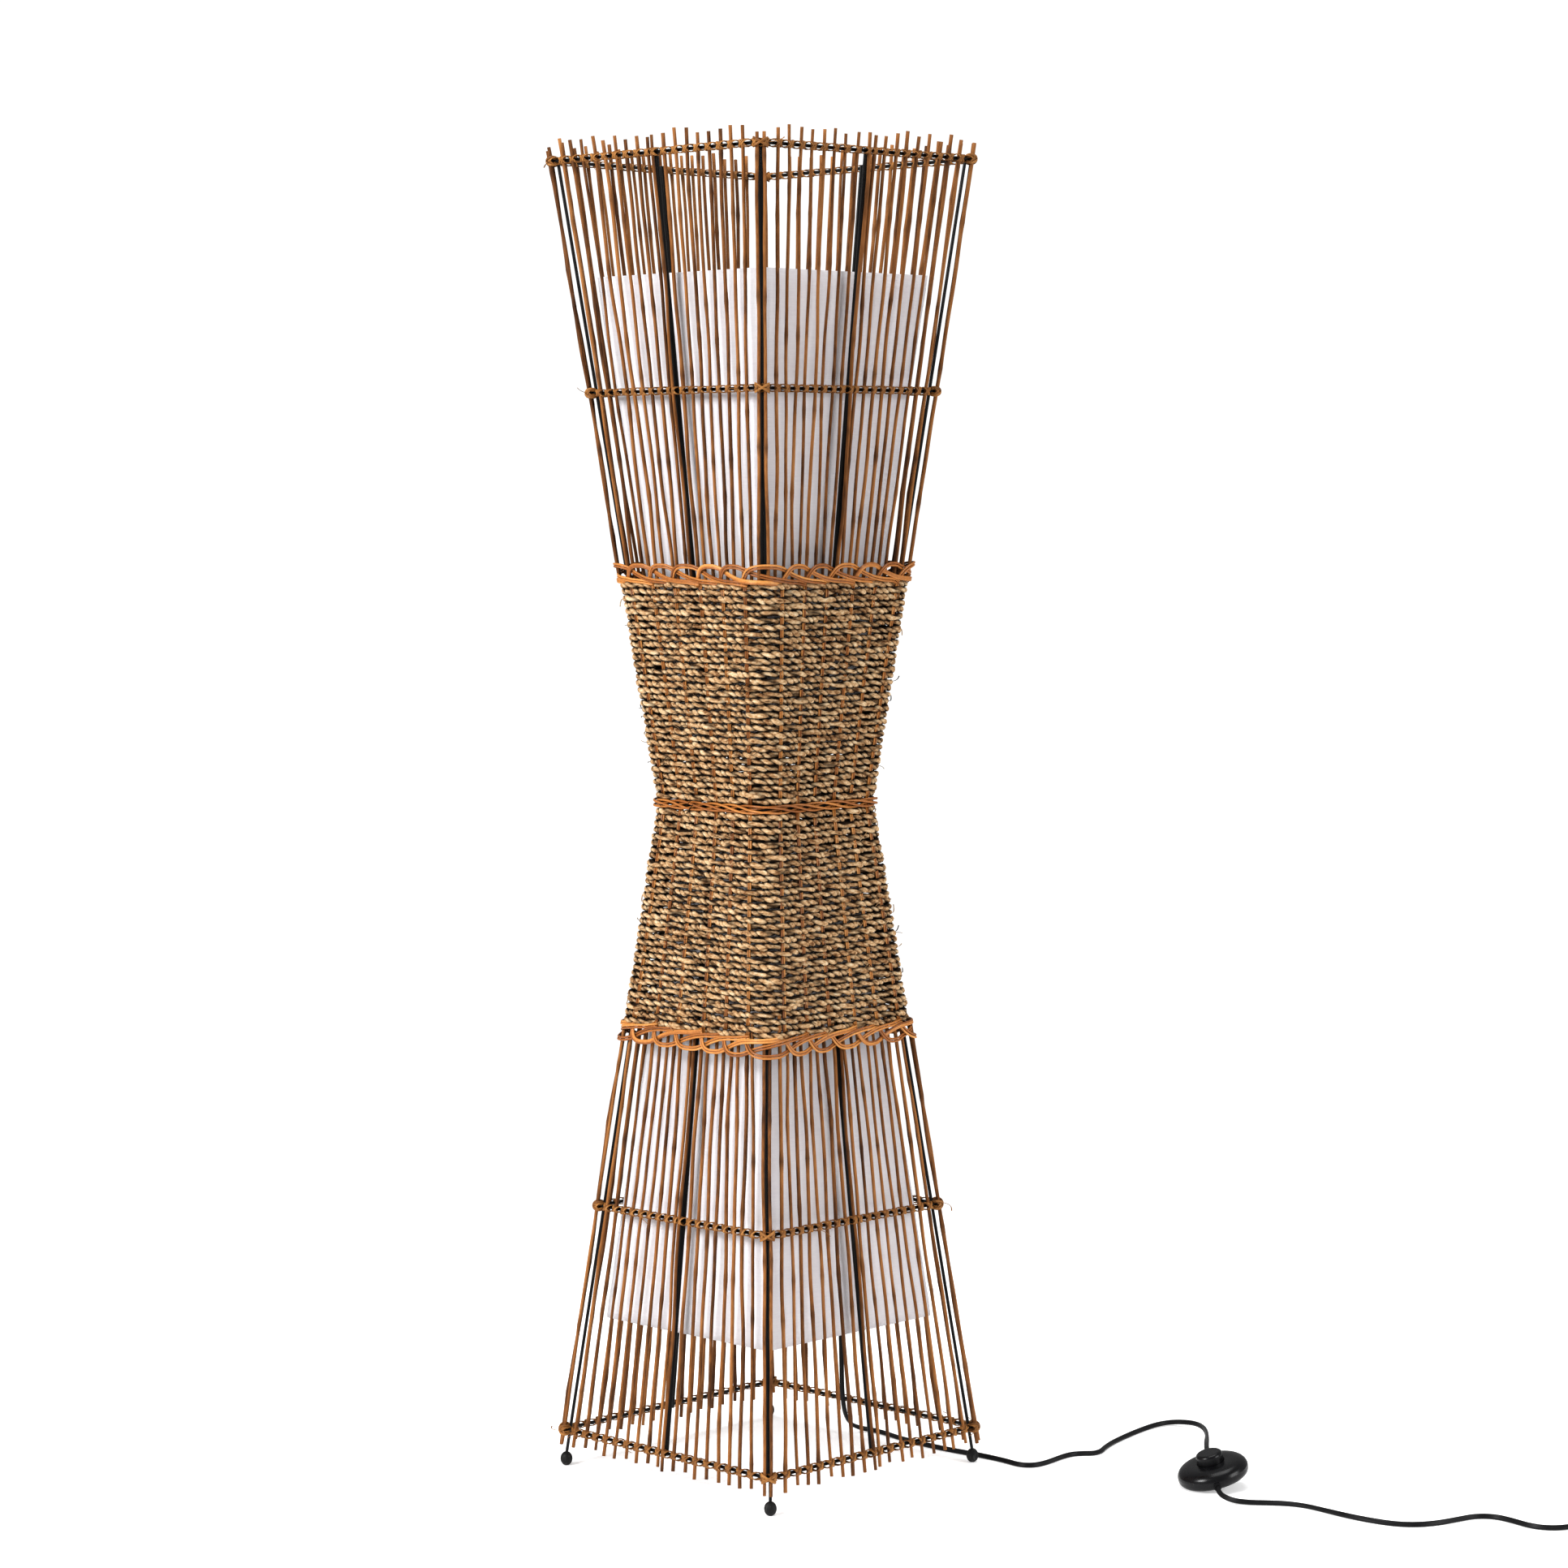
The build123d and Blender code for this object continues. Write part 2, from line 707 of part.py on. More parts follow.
tie_angle = 50.0
tie_width = 5.0
tie_thick = 0.6
tie_room = 0.6
tie_reach = coil_outer - coil_inner + tie_room
coil_height = coil_high - coil_low
tie_middle = (coil_outer + coil_inner) / 2
tie_hole = Box(tie_reach, 2 * tie_width, coil_height)
tie = Box(tie_reach + 2 * tie_thick, tie_width, coil_height + 2 * tie_thick)
tie_height = (coil_low + coil_high) / 2
tie_place = Pos(coil_centre[0], coil_centre[1], tie_height) * Rot(0, 0, tie_angle)
parts["coil_tie"] = tie_place * Pos(tie_middle, 0, 0) * (tie - tie_hole)

# ---- Two-pin plug beside the coil ----
plug_x = coil_centre[0] + coil_turn
half_face = plug_width / 2
plug_neck = 5.5  # half the width where the cord goes in
plug_grip = 9.0  # half the width at the finger grip
plug_corner = 1.8
plug_edge = 1.5
plug_plan = make_face(
    Polyline(
        (-plug_neck, plug_rear_y),
        (-plug_grip, plug_rear_y - 14),
        (-half_face + 2.5, plug_rear_y - 20),
        (-half_face, plug_face_y),
        (half_face, plug_face_y),
        (half_face - 2.5, plug_rear_y - 20),
        (plug_grip, plug_rear_y - 14),
        (plug_neck, plug_rear_y),
        close=True,
    )
)
plug_body = extrude(plug_plan, plug_thick, dir=(0, 0, 1))
plug_body = fillet(plug_body.edges().filter_by(Axis.Z), plug_corner)
plug_body = fillet(plug_body.faces().sort_by(Axis.Z)[-1].edges(), plug_edge)
plug_body = fillet(plug_body.faces().sort_by(Axis.Z)[0].edges(), plug_edge)
parts["plug_body"] = Pos(plug_x, 0, 0) * plug_body

pins = []
for side in (-1, 1):
    x = plug_x + side * pin_spacing / 2
    root = (x, plug_face_y, plug_thick / 2)
    pin = rod(root, (x, plug_face_y - pin_length, plug_thick / 2), pin_radius)
    pins.append(chamfer(pin.edges().group_by(Axis.Y)[0], 0.7))
parts["plug_pins"] = pins

# ---- Write one file per node ----
os.makedirs("parts", exist_ok=True)
for name, shape in parts.items():
    solids = []
    for piece in shape if isinstance(shape, list) else [shape]:
        solids += piece.solids()
    export_step(Compound(children=solids) if len(solids) > 1 else solids[0], f"parts/{name}.step")
print(len(parts), "nodes")
print("switch exits", exit_of(1), exit_of(-1), "slide axis", Plane(switch_place).z_dir)
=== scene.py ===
import json
import math
import random

import bpy
import numpy as np
from mathutils import Matrix, Vector


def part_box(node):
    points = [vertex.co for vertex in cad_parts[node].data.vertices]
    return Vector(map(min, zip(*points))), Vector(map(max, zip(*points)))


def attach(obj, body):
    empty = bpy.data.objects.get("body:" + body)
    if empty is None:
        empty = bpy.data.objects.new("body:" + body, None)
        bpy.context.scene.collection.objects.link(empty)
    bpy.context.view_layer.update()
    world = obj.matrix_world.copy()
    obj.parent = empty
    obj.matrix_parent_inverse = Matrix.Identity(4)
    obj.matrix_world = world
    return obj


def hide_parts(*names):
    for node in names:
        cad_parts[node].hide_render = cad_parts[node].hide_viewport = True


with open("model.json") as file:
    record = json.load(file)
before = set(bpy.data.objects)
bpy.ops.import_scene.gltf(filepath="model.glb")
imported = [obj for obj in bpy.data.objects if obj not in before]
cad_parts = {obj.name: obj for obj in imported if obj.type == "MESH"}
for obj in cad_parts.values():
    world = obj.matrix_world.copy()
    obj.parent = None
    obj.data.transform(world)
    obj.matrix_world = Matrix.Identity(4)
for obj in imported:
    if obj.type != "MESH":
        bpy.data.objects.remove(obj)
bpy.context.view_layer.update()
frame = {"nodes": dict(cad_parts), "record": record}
nodes = frame["nodes"]
chance = random.Random(23)
spread = np.random.default_rng(41)

# ---- Camera ----
# It stands a little below the top of the lamp, square on to the front corner,
# and leans a third of a degree.
turned_to_corner = Matrix.Rotation(math.radians(45), 4, "Z")
nodded = Matrix.Rotation(math.radians(90 - 4.215), 4, "X")
leaning = Matrix.Rotation(math.radians(-0.327), 4, "Z")
lens = bpy.data.cameras.new("camera")
lens.lens = 90.8
lens.sensor_width = 36
camera = bpy.data.objects.new("camera", lens)
camera.matrix_world = (
    Matrix.Translation((2.7378, -2.7121, 0.9579)) @ turned_to_corner @ nodded @ leaning
)
bpy.context.scene.collection.objects.link(camera)
bpy.context.scene.camera = camera


# ---- Studio: soft boxes, white surround and floor ----
# A large soft box stands to the left of the camera, a weaker one to its right
# and one above. The floor is a plain white sweep that fades out round the lamp.
def soft_box(name, place, size, power):
    """A square light that faces the middle of the lamp."""
    lamp = bpy.data.lights.new(name, "AREA")
    lamp.size = size
    lamp.energy = power
    box = bpy.data.objects.new(name, lamp)
    aim = Vector((0, 0, 0.65)) - Vector(place)
    box.matrix_world = Matrix.Translation(place) @ aim.to_track_quat("-Z", "Y").to_matrix().to_4x4()
    bpy.context.scene.collection.objects.link(box)


soft_box("key_light", (-0.4, -3.1, 2.0), 1.3, 120)
soft_box("fill_light", (3.1, 1.0, 1.4), 1.6, 52)
soft_box("top_light", (0.2, 0.2, 3.4), 2.0, 46)

surround = bpy.data.worlds.new("surround")
surround.use_nodes = True
sky = surround.node_tree
seen = sky.nodes.new("ShaderNodeLightPath")
bright = sky.nodes.new("ShaderNodeMapRange")
bright.inputs["To Min"].default_value = 0.42  # what it lights with
bright.inputs["To Max"].default_value = 1.0  # what it looks like
sky.links.new(seen.outputs["Is Camera Ray"], bright.inputs["Value"])
sky.links.new(bright.outputs["Result"], sky.nodes["Background"].inputs["Strength"])
sky.nodes["Background"].inputs["Color"].default_value = (1, 1, 1, 1)
bpy.context.scene.world = surround
bpy.context.scene.view_settings.view_transform = "Standard"
bpy.context.scene.view_settings.gamma = 0.82
bpy.context.scene.view_settings.exposure = 0.1

bpy.ops.object.select_all(action="DESELECT")
bpy.ops.mesh.primitive_plane_add(size=5)
floor = bpy.context.object
floor.name = "floor"


class Tint:
    """A number or colour on its way to a shader socket."""

    def __init__(self, finish, socket):
        self.finish = finish
        self.socket = socket

    def _math(self, operation, first, second):
        return self.finish.node("ShaderNodeMath", {"operation": operation}, {0: first, 1: second})

    def __add__(self, other):
        return self._math("ADD", self, other)

    def __sub__(self, other):
        return self._math("SUBTRACT", self, other)

    def __rsub__(self, other):
        return self._math("SUBTRACT", other, self)

    def __mul__(self, other):
        return self._math("MULTIPLY", self, other)

    __radd__ = __add__
    __rmul__ = __mul__


class Finish:
    """A material, with the nodes that give it its look."""

    def __init__(self, name, **fixed):
        self.material = bpy.data.materials.new(name)
        self.material.use_nodes = True
        self.tree = self.material.node_tree
        self.shader = self.tree.nodes["Principled BSDF"]
        names = {s.name.replace(" ", "_").lower(): s for s in self.shader.inputs}
        for key, value in fixed.items():
            names[key].default_value = value

    def node(self, kind, settings, sockets, out=0):
        """A node of a kind, its settings made first, then its sockets filled or linked."""
        made = self.tree.nodes.new(kind)
        for key, value in settings.items():
            if key == "stops":
                ramp = made.color_ramp.elements
                ramp.remove(ramp[1])
                ramp[0].position = value[0][0]
                ramp[0].color = (*value[0][1], 1)
                for place, colour in value[1:]:
                    ramp.new(place).color = (*colour, 1)
            else:
                setattr(made, key, value)
        for key, value in sockets.items():
            if isinstance(value, Tint):
                self.tree.links.new(value.socket, made.inputs[key])
            else:
                made.inputs[key].default_value = value
        return Tint(self, made.outputs[out])

    def place(self, scale=(1, 1, 1), turn=(0, 0, 0)):
        """Where a point is on the lamp, stretched and turned."""
        here = self.node("ShaderNodeTexCoord", {}, {}, "Object")
        return self.node("ShaderNodeMapping", {}, {"Vector": here, "Scale": scale, "Rotation": turn})

    def noise(self, vector, scale, detail=3.0):
        """Cloudy variation about one half."""
        filled = {"Vector": vector, "Scale": scale, "Detail": detail}
        return self.node("ShaderNodeTexNoise", {}, filled)

    def carried(self, name):
        """A number that the piece's own mesh carries."""
        return self.node("ShaderNodeAttribute", {"attribute_name": name}, {}, "Fac")

    def joined(self, x, y, z):
        """Three numbers as one vector."""
        return self.node("ShaderNodeCombineXYZ", {}, {"X": x, "Y": y, "Z": z})

    def ramp(self, share, stops):
        """Colours along a share from 0 to 1."""
        return self.node("ShaderNodeValToRGB", {"stops": stops}, {"Fac": share})

    def mix(self, share, first, second):
        """A colour between two others."""
        filled = {0: share, 6: first, 7: second}
        return self.node("ShaderNodeMix", {"data_type": "RGBA"}, filled, 2)

    def give(self, socket, tint):
        """Feed one of the shader's sockets."""
        self.tree.links.new(tint.socket, self.shader.inputs[socket])

    def bump(self, height, distance, strength=1.0):
        """Raise the surface by height."""
        filled = {"Height": height, "Distance": distance, "Strength": strength}
        self.give("Normal", self.node("ShaderNodeBump", {}, filled))


fade_reach = 2.5
floor_finish = Finish(
    "white_sweep",
    base_color=(0.9, 0.9, 0.9, 1),
    roughness=0.9,
    emission_color=(1, 1, 1, 1),
    emission_strength=0.36,
)
from_lamp = floor_finish.node(
    "ShaderNodeVectorMath", {"operation": "LENGTH"}, {0: floor_finish.place()}, "Value"
)
fade = [(0.9 / fade_reach, (1, 1, 1)), (1.8 / fade_reach, (0, 0, 0))]
floor_finish.give("Alpha", floor_finish.ramp(from_lamp * (1 / fade_reach), fade))
floor.data.materials.append(floor_finish.material)

# ---- Cord: lamp to foot switch, and foot switch to plug ----
# Flat black twin flex, extruded over two cores with a shallow groove between
# them. It leaves the gland behind the waist, drops down the back and lies on
# the floor. What is left over is wound in a tied coil beside the plug.
def follow(route):
    """Points along one smooth curve that a route steers."""
    curve = bpy.data.curves.new("route", "CURVE")
    curve.dimensions = "3D"
    curve.resolution_u = 10
    spline = curve.splines.new("NURBS")
    spline.points.add(len(route) - 1)
    for point, place in zip(spline.points, route):
        point.co = (*place, 1)
    spline.order_u = 3
    spline.use_endpoint_u = True
    line = bpy.data.objects.new("route", curve)
    bpy.context.scene.collection.objects.link(line)
    mesh = bpy.data.meshes.new_from_object(line)
    points = np.array([v.co for v in mesh.vertices])
    bpy.data.objects.remove(line)
    bpy.data.meshes.remove(mesh)
    return points


def oval(sides, start=0.0):
    """Section of a round or oval strand, its first corner a start angle on."""
    angles = start + np.arange(sides) * 2 * math.pi / sides
    return np.stack([np.cos(angles), np.sin(angles)], axis=-1)


def strands(name, lines, facing, wide, thick, section, closed=False, tones=None):
    """One piece of many strands. Each line carries a section that faces one way."""
    lines = np.asarray(lines, float)
    count, steps = lines.shape[:2]
    sides = len(section)
    if closed:
        ahead = np.roll(lines, -1, axis=1) - np.roll(lines, 1, axis=1)
    else:
        ahead = np.gradient(lines, axis=1)
    ahead /= np.linalg.norm(ahead, axis=-1, keepdims=True)
    across = np.cross(ahead, np.broadcast_to(facing, lines.shape))
    across /= np.linalg.norm(across, axis=-1, keepdims=True)
    outward = np.cross(across, ahead)
    wide = np.broadcast_to(wide, (count, steps))[..., None, None]
    thick = np.broadcast_to(thick, (count, steps))[..., None, None]
    points = (
        lines[:, :, None]
        + across[:, :, None] * wide * section[:, :1]
        + outward[:, :, None] * thick * section[:, 1:]
    )
    row = np.arange(sides)
    column = np.arange(steps if closed else steps - 1)[:, None]
    near = column * sides
    far = (column + 1) % steps * sides
    ahead_row = (row + 1) % sides
    quads = np.stack([near + row, far + row, far + ahead_row, near + ahead_row], axis=-1)
    firsts = np.arange(count)[:, None, None] * steps * sides
    faces = (quads.reshape(1, -1, 4) + firsts).reshape(-1, 4).tolist()
    if not closed:
        starts = firsts[:, :, 0] + row
        ends = firsts[:, :, 0] + (steps - 1) * sides + row[::-1]
        faces += starts.tolist() + ends.tolist()
    mesh = bpy.data.meshes.new(name)
    mesh.from_pydata(points.reshape(-1, 3).tolist(), [], faces)
    mesh.shade_smooth()
    run = np.linalg.norm(np.diff(lines, axis=1, prepend=lines[:, :1]), axis=-1).cumsum(axis=1)
    tones = spread.random(count) if tones is None else tones
    tones = np.broadcast_to(np.reshape(tones, (count, -1, 1)), (count, steps, sides))
    # The outer share runs from the inner to the outer side of each section; the cane and seagrass
    # finishes paint shade by it.
    outer = np.broadcast_to(section[:, 1] / 2 + 0.5, (count, steps, sides))
    for label, values in (("along", np.repeat(run, sides)), ("tone", tones), ("outer", outer)):
        carried = mesh.attributes.new(label, "FLOAT", "POINT")
        carried.data.foreach_set("value", np.ravel(values).astype(np.float32))
    piece = bpy.data.objects.new(name, mesh)
    bpy.context.scene.collection.objects.link(piece)
    return piece


flex_width = 0.005
flex_thick = 0.0032
flex_drop = 0.0009  # the flat flex lies lower than a round one of its width
floor_run = 0.0026
lamp_route = [
    (0, 0.044, 0.6465),
    (0, 0.054, 0.6465),
    (-0.002, 0.0625, 0.639),
    (-0.0045, 0.066, 0.627),
    (-0.006, 0.068, 0.610),
    (-0.007, 0.0705, 0.588),
    (-0.009, 0.0745, 0.556),
    (-0.0125, 0.080, 0.508),
    (-0.0175, 0.0865, 0.449),
    (-0.022, 0.0935, 0.388),
    (-0.025, 0.1005, 0.326),
    (-0.025, 0.1075, 0.264),
    (-0.023, 0.1145, 0.204),
    (-0.0205, 0.120, 0.152),
    (-0.0193, 0.122, 0.110),
    (-0.019, 0.1225, 0.076),
    (-0.020, 0.124, 0.049),
    (-0.023, 0.130, 0.027),
    (-0.027, 0.141, 0.012),
    (-0.026, 0.155, 0.0046),
    (-0.016, 0.1635, 0.0028),
    (0.001, 0.164, floor_run),
    (0.027, 0.159, floor_run),
    (0.064, 0.155, floor_run),
    (0.101, 0.156, floor_run),
    (0.136, 0.161, floor_run),
    (0.168, 0.1615, floor_run),
    (0.190, 0.158, floor_run),
    (0.202, 0.167, floor_run),
    (0.203, 0.185, floor_run),
    (0.199, 0.208, floor_run),
    (0.198, 0.226, floor_run),
    (0.204, 0.237, floor_run),
    (0.212, 0.245, floor_run),
    (0.211, 0.257, floor_run),
    (0.203, 0.272, floor_run),
    (0.195, 0.294, floor_run),
    (0.188, 0.324, floor_run),
    (0.182, 0.356, floor_run),
    (0.180, 0.382, 0.0030),
    (0.187, 0.397, 0.0040),
    (0.202, 0.403, 0.0052),
    (0.220, 0.398, 0.0070),
    (0.243, 0.380, 0.0095),
    (0.269, 0.352, 0.0130),
    (0.293, 0.322, 0.0170),
    (0.312, 0.298, 0.0198),
    (0.330, 0.276, 0.0206),
    (0.34709, 0.25870, 0.01734),
]
plug_route = [
    (0.40043, 0.20536, 0.00808),
    (0.408, 0.1975, 0.0070),
    (0.418, 0.1915, 0.0056),
    (0.4305, 0.1915, 0.0036),
    (0.443, 0.199, 0.0028),
    (0.456, 0.2105, floor_run),
    (0.470, 0.2215, floor_run),
    (0.488, 0.228, floor_run),
    (0.511, 0.227, floor_run),
    (0.538, 0.2245, floor_run),
    (0.566, 0.2255, floor_run),
    (0.590, 0.231, floor_run),
    (0.606, 0.243, floor_run),
    (0.616, 0.262, floor_run),
    (0.621, 0.285, floor_run),
    (0.626, 0.306, floor_run),
    (0.640, 0.317, floor_run),
    (0.660, 0.316, floor_run),
    (0.683, 0.3115, floor_run),
    (0.700, 0.3165, 0.0028),
    (0.710, 0.329, 0.0030),
    (0.713, 0.345, 0.0032),
]
coil_x, coil_y = 0.745, 0.366
coil_turn = 0.0325
coil_step = 0.0048
coil_turns = 4.5
points_per_turn = 16
climb_turns = 0.5
upper_layer = 0.0079
for k in range(1, int(coil_turns * points_per_turn)):
    turns = k / points_per_turn
    inward = min(turns, coil_turns - turns)
    climb = min(max((turns - coil_turns / 2) / climb_turns + 0.5, 0), 1)
    radius = coil_turn - coil_step * inward
    angle = math.pi - 2 * math.pi * turns
    height = floor_run + (upper_layer - floor_run) * climb
    plug_route.append(
        (coil_x + radius * math.cos(angle), coil_y + radius * math.sin(angle), height)
    )
plug_route.append((coil_x + coil_turn, 0.356, 0.0080))
plug_route.append((coil_x + coil_turn, 0.338, 0.00685))

flex_section = np.array(
    [(1, 0), (0.88, 0.7), (0.5, 1), (0.14, 0.8), (-0.14, 0.8), (-0.5, 1), (-0.88, 0.7), (-1, 0)]
    + [(-0.88, -0.7), (-0.5, -1), (-0.14, -0.8), (0.14, -0.8), (0.5, -1), (0.88, -0.7)]
)

flex_finish = Finish("flex", roughness=0.42, specular_ior_level=0.22)
dust = flex_finish.noise(flex_finish.place(), 90, 4)
blacks = flex_finish.mix(dust, (0.004, 0.004, 0.005, 1), (0.014, 0.014, 0.015, 1))
flex_finish.give("Base Color", blacks)
flex_finish.give("Roughness", 0.3 + 0.25 * dust)
flex_finish.bump(flex_finish.noise(flex_finish.place(), 1600, 2), 0.00008, 0.5)


def flex(name, route):
    """Flat flex along a route. It tips on edge and back again as it lies on the floor."""
    line = follow(route)
    ahead = np.gradient(line, axis=0)
    ahead /= np.linalg.norm(ahead, axis=1)[:, None]
    steep = np.abs(ahead[:, 2])
    run = np.linalg.norm(np.diff(line, axis=0, prepend=line[:1]), axis=1).cumsum()
    wander = np.sin(run * 31 + 1.3) * np.sin(run * 11)
    tipped = (1 - steep) * (0.62 + 0.38 * wander)
    flat_facing = np.stack([0 * steep, steep, 1 - steep], axis=-1)
    edge_facing = np.cross(ahead, (0, 0, 1))
    facing = flat_facing * (1 - tipped)[:, None] + edge_facing * tipped[:, None]
    low = flex_drop * (1 - steep) * (1 - tipped) ** 2
    flat_run = line - np.stack([0 * low, 0 * low, low], axis=-1)
    piece = strands(name, [flat_run], facing, flex_width / 2, flex_thick / 2, flex_section)
    piece.data.materials.append(flex_finish.material)
    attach(piece, "lamp")
    return piece, line.tolist()


lamp_flex, lamp_line = flex("lamp_flex", lamp_route)
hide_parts("lamp_cord")
plug_flex, plug_line = flex("plug_flex", plug_route)
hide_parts("plug_cord", "plug_cord_coil")

# ---- Wire frame ----
# Mild steel wire, bent and welded, then lacquered satin black: square rings
# with the posts in pairs inside them, and round feet of the same black.
wire_low, wire_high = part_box("top_ring")
waist_low, waist_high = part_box("waist_ring")
foot_low, foot_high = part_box("bottom_ring")
ring_wire = (wire_high.z - wire_low.z) / 2
waist_z = (waist_high.z + waist_low.z) / 2
top_z = (wire_high.z + wire_low.z) / 2
bottom_z = (foot_high.z + foot_low.z) / 2
ring_rise = top_z - waist_z
ring_half = wire_high.x - ring_wire
waist_half = waist_high.x - ring_wire


def half_side(z):
    """Half the side of the frame's square at a height."""
    return waist_half + (ring_half - waist_half) * np.abs(z - waist_z) / ring_rise


def dress(finish, *slots):
    """Give a finish to the carried-over pieces of some material slots."""
    for part in frame["record"]["subparts"]:
        if part["material_slot"] in slots:
            piece = nodes[part["node"]]
            piece.data.materials.clear()
            piece.data.materials.append(finish.material)


lacquer = Finish("black_lacquer", roughness=0.3, specular_ior_level=0.2)
cloud = lacquer.noise(lacquer.place(), 60, 5)
lacquer.give("Base Color", lacquer.mix(cloud, (0.004, 0.004, 0.005, 1), (0.02, 0.019, 0.018, 1)))
lacquer.give("Roughness", 0.2 + 0.3 * cloud)
lacquer.bump(lacquer.noise(lacquer.place(), 900, 3), 0.0001, 0.6)
dress(lacquer, "black_wire")

foot_finish = Finish("matte_black", roughness=0.62, specular_ior_level=0.35)
scuff = foot_finish.noise(foot_finish.place((1, 1, 0.3)), 420, 5)
scuffed = foot_finish.ramp(scuff, [(0.55, (0.006, 0.006, 0.006)), (0.72, (0.05, 0.05, 0.048))])
foot_finish.give("Base Color", scuffed)
foot_finish.give("Roughness", 0.45 + 0.35 * scuff)
foot_finish.bump(foot_finish.noise(foot_finish.place(), 1500, 2), 0.0001, 0.5)
dress(foot_finish, "foot_ball")

# ---- Rattan sticks ----
# Thin peeled rattan, smoked brown and left unpolished, a little crooked and
# swollen at the joints. Twenty stand on each side of both cages, their inner
# ends inside the sleeve and their free ends uneven beyond the rings.
stick_radius = 0.00165
stick_offset = 0.0033
stick_length = 0.455
sticks_each_way = 10
first_share = 0.0035 / ring_half
share_step = 0.015 / ring_half
corner_share = 0.1416 / ring_half
hidden_rise = 0.197
corner_rise = 0.2165  # the end sticks start clear of the rounded weave
hidden_uneven = 0.003
top_overhang = 0.022
top_uneven = (0.0005, 0.0085)
corner_drop = 0.006
bottom_overhang = 0.0145
bottom_uneven = 0.0025
most_sway = 0.0009
stick_cuts = 38
joint_swell = 1.22
joint_reach = 0.007
crook_strength = 0.0048
joints = [(0.05, 0.19, 0.33), (0.11, 0.26, 0.40), (0.08, 0.22, 0.37), (0.14, 0.29, 0.43)]

bark = Finish("smoked_rattan", roughness=0.55, specular_ior_level=0.22)
own = bark.carried("tone")
height = bark.carried("along")
shifted = bark.joined(own * 37.0, own * 11.0, height)
stretched = bark.node("ShaderNodeVectorMath", {"operation": "MULTIPLY"}, {0: shifted, 1: (1, 1, 16)})
patches = bark.noise(stretched, 1.0, 4)
streaks = bark.noise(bark.place((1, 1, 0.035)), 900, 3)
shade_of_brown = 0.24 * own + 0.85 * patches + 0.5 * streaks - 0.27
browns = [
    (0.12, (0.028, 0.010, 0.003)),
    (0.34, (0.115, 0.044, 0.012)),
    (0.55, (0.27, 0.112, 0.032)),
    (0.80, (0.42, 0.195, 0.065)),
    (1.0, (0.58, 0.30, 0.115)),
]
brown = bark.ramp(shade_of_brown, browns)
joint_dark = bark.carried("joint")
brown = bark.mix(joint_dark * 0.65, brown, (0.045, 0.018, 0.007, 1))
bark.give("Base Color", brown)
bark.give("Roughness", 0.42 + 0.3 * streaks)
bark.bump(streaks, 0.0003, 0.8)

growth = bpy.data.textures.new("growth", "CLOUDS")
growth.noise_scale = 0.13
growth.noise_depth = 1
patterns = []
for variant, places in enumerate(joints):
    bpy.ops.object.select_all(action="DESELECT")
    bpy.ops.mesh.primitive_cylinder_add(
        vertices=8, radius=stick_radius, depth=stick_length, location=(0, 0, stick_length / 2)
    )
    stick = bpy.context.object
    bpy.ops.object.transform_apply(location=True)
    bpy.ops.object.mode_set(mode="EDIT")
    bpy.ops.mesh.select_mode(type="EDGE")
    bpy.ops.mesh.select_all(action="DESELECT")
    bpy.ops.object.mode_set(mode="OBJECT")
    for edge in stick.data.edges:
        ends = [stick.data.vertices[v].co.z for v in edge.vertices]
        edge.select = abs(ends[0] - ends[1]) > stick_length / 2
    bpy.ops.object.mode_set(mode="EDIT")
    bpy.ops.mesh.subdivide(number_cuts=stick_cuts)
    bpy.ops.mesh.select_mode(type="VERT")
    for place in places:
        bpy.ops.mesh.select_all(action="DESELECT")
        bpy.ops.object.mode_set(mode="OBJECT")
        nearest = min((abs(v.co.z - place), v.co.z) for v in stick.data.vertices)[1]
        for vertex in stick.data.vertices:
            vertex.select = abs(vertex.co.z - nearest) < 1e-5
        bpy.ops.object.mode_set(mode="EDIT")
        swell = (joint_swell, joint_swell, 1)
        bpy.ops.transform.resize(value=swell, center_override=(0, 0, nearest))
    bpy.ops.object.mode_set(mode="OBJECT")
    stick.location = (0.7 * variant, 0.4, 0)
    for direction in ("X", "Y"):
        crook = stick.modifiers.new("crook_" + direction, "DISPLACE")
        crook.texture = growth
        crook.texture_coords = "GLOBAL"
        crook.direction = direction
        crook.strength = crook_strength
        bpy.ops.object.modifier_apply(modifier=crook.name)
        stick.location.y += 0.9
    stick.location = (0, 0, 0)
    stick.data.shade_smooth()
    along = stick.data.attributes.new("along", "FLOAT", "POINT")
    joint = stick.data.attributes.new("joint", "FLOAT", "POINT")
    stick.data.attributes.new("tone", "FLOAT", "POINT")
    heights = [v.co.z for v in stick.data.vertices]
    along.data.foreach_set("value", heights)
    joint.data.foreach_set(
        "value", [max(0, 1 - min(abs(h - p) for p in places) / joint_reach) for h in heights]
    )
    middle = np.mean([v.co for v in stick.data.vertices], axis=0)
    stick.data.transform(Matrix.Translation((-middle[0], -middle[1], 0)))
    stick.data.materials.append(bark.material)
    patterns.append(stick)


def stand(pattern, foot, tip, tone):
    """A copy of a pattern stick, with its own mesh, from one point to another."""
    copy = pattern.copy()
    copy.data = pattern.data.copy()
    line = Vector(tip) - Vector(foot)
    squeeze = Matrix.Scale(line.length / stick_length, 4, (0, 0, 1))
    twist = Matrix.Rotation(chance.uniform(0, 2 * math.pi), 4, "Z")
    lean = line.to_track_quat("Z", "Y").to_matrix().to_4x4()
    thickness = chance.uniform(0.9, 1.12)
    plump = Matrix.Diagonal((thickness, thickness, 1, 1))
    copy.data.transform(Matrix.Translation(foot) @ lean @ squeeze @ plump @ twist)
    copy.data.attributes["tone"].data.foreach_set("value", [tone] * len(copy.data.vertices))
    bpy.context.scene.collection.objects.link(copy)
    return copy


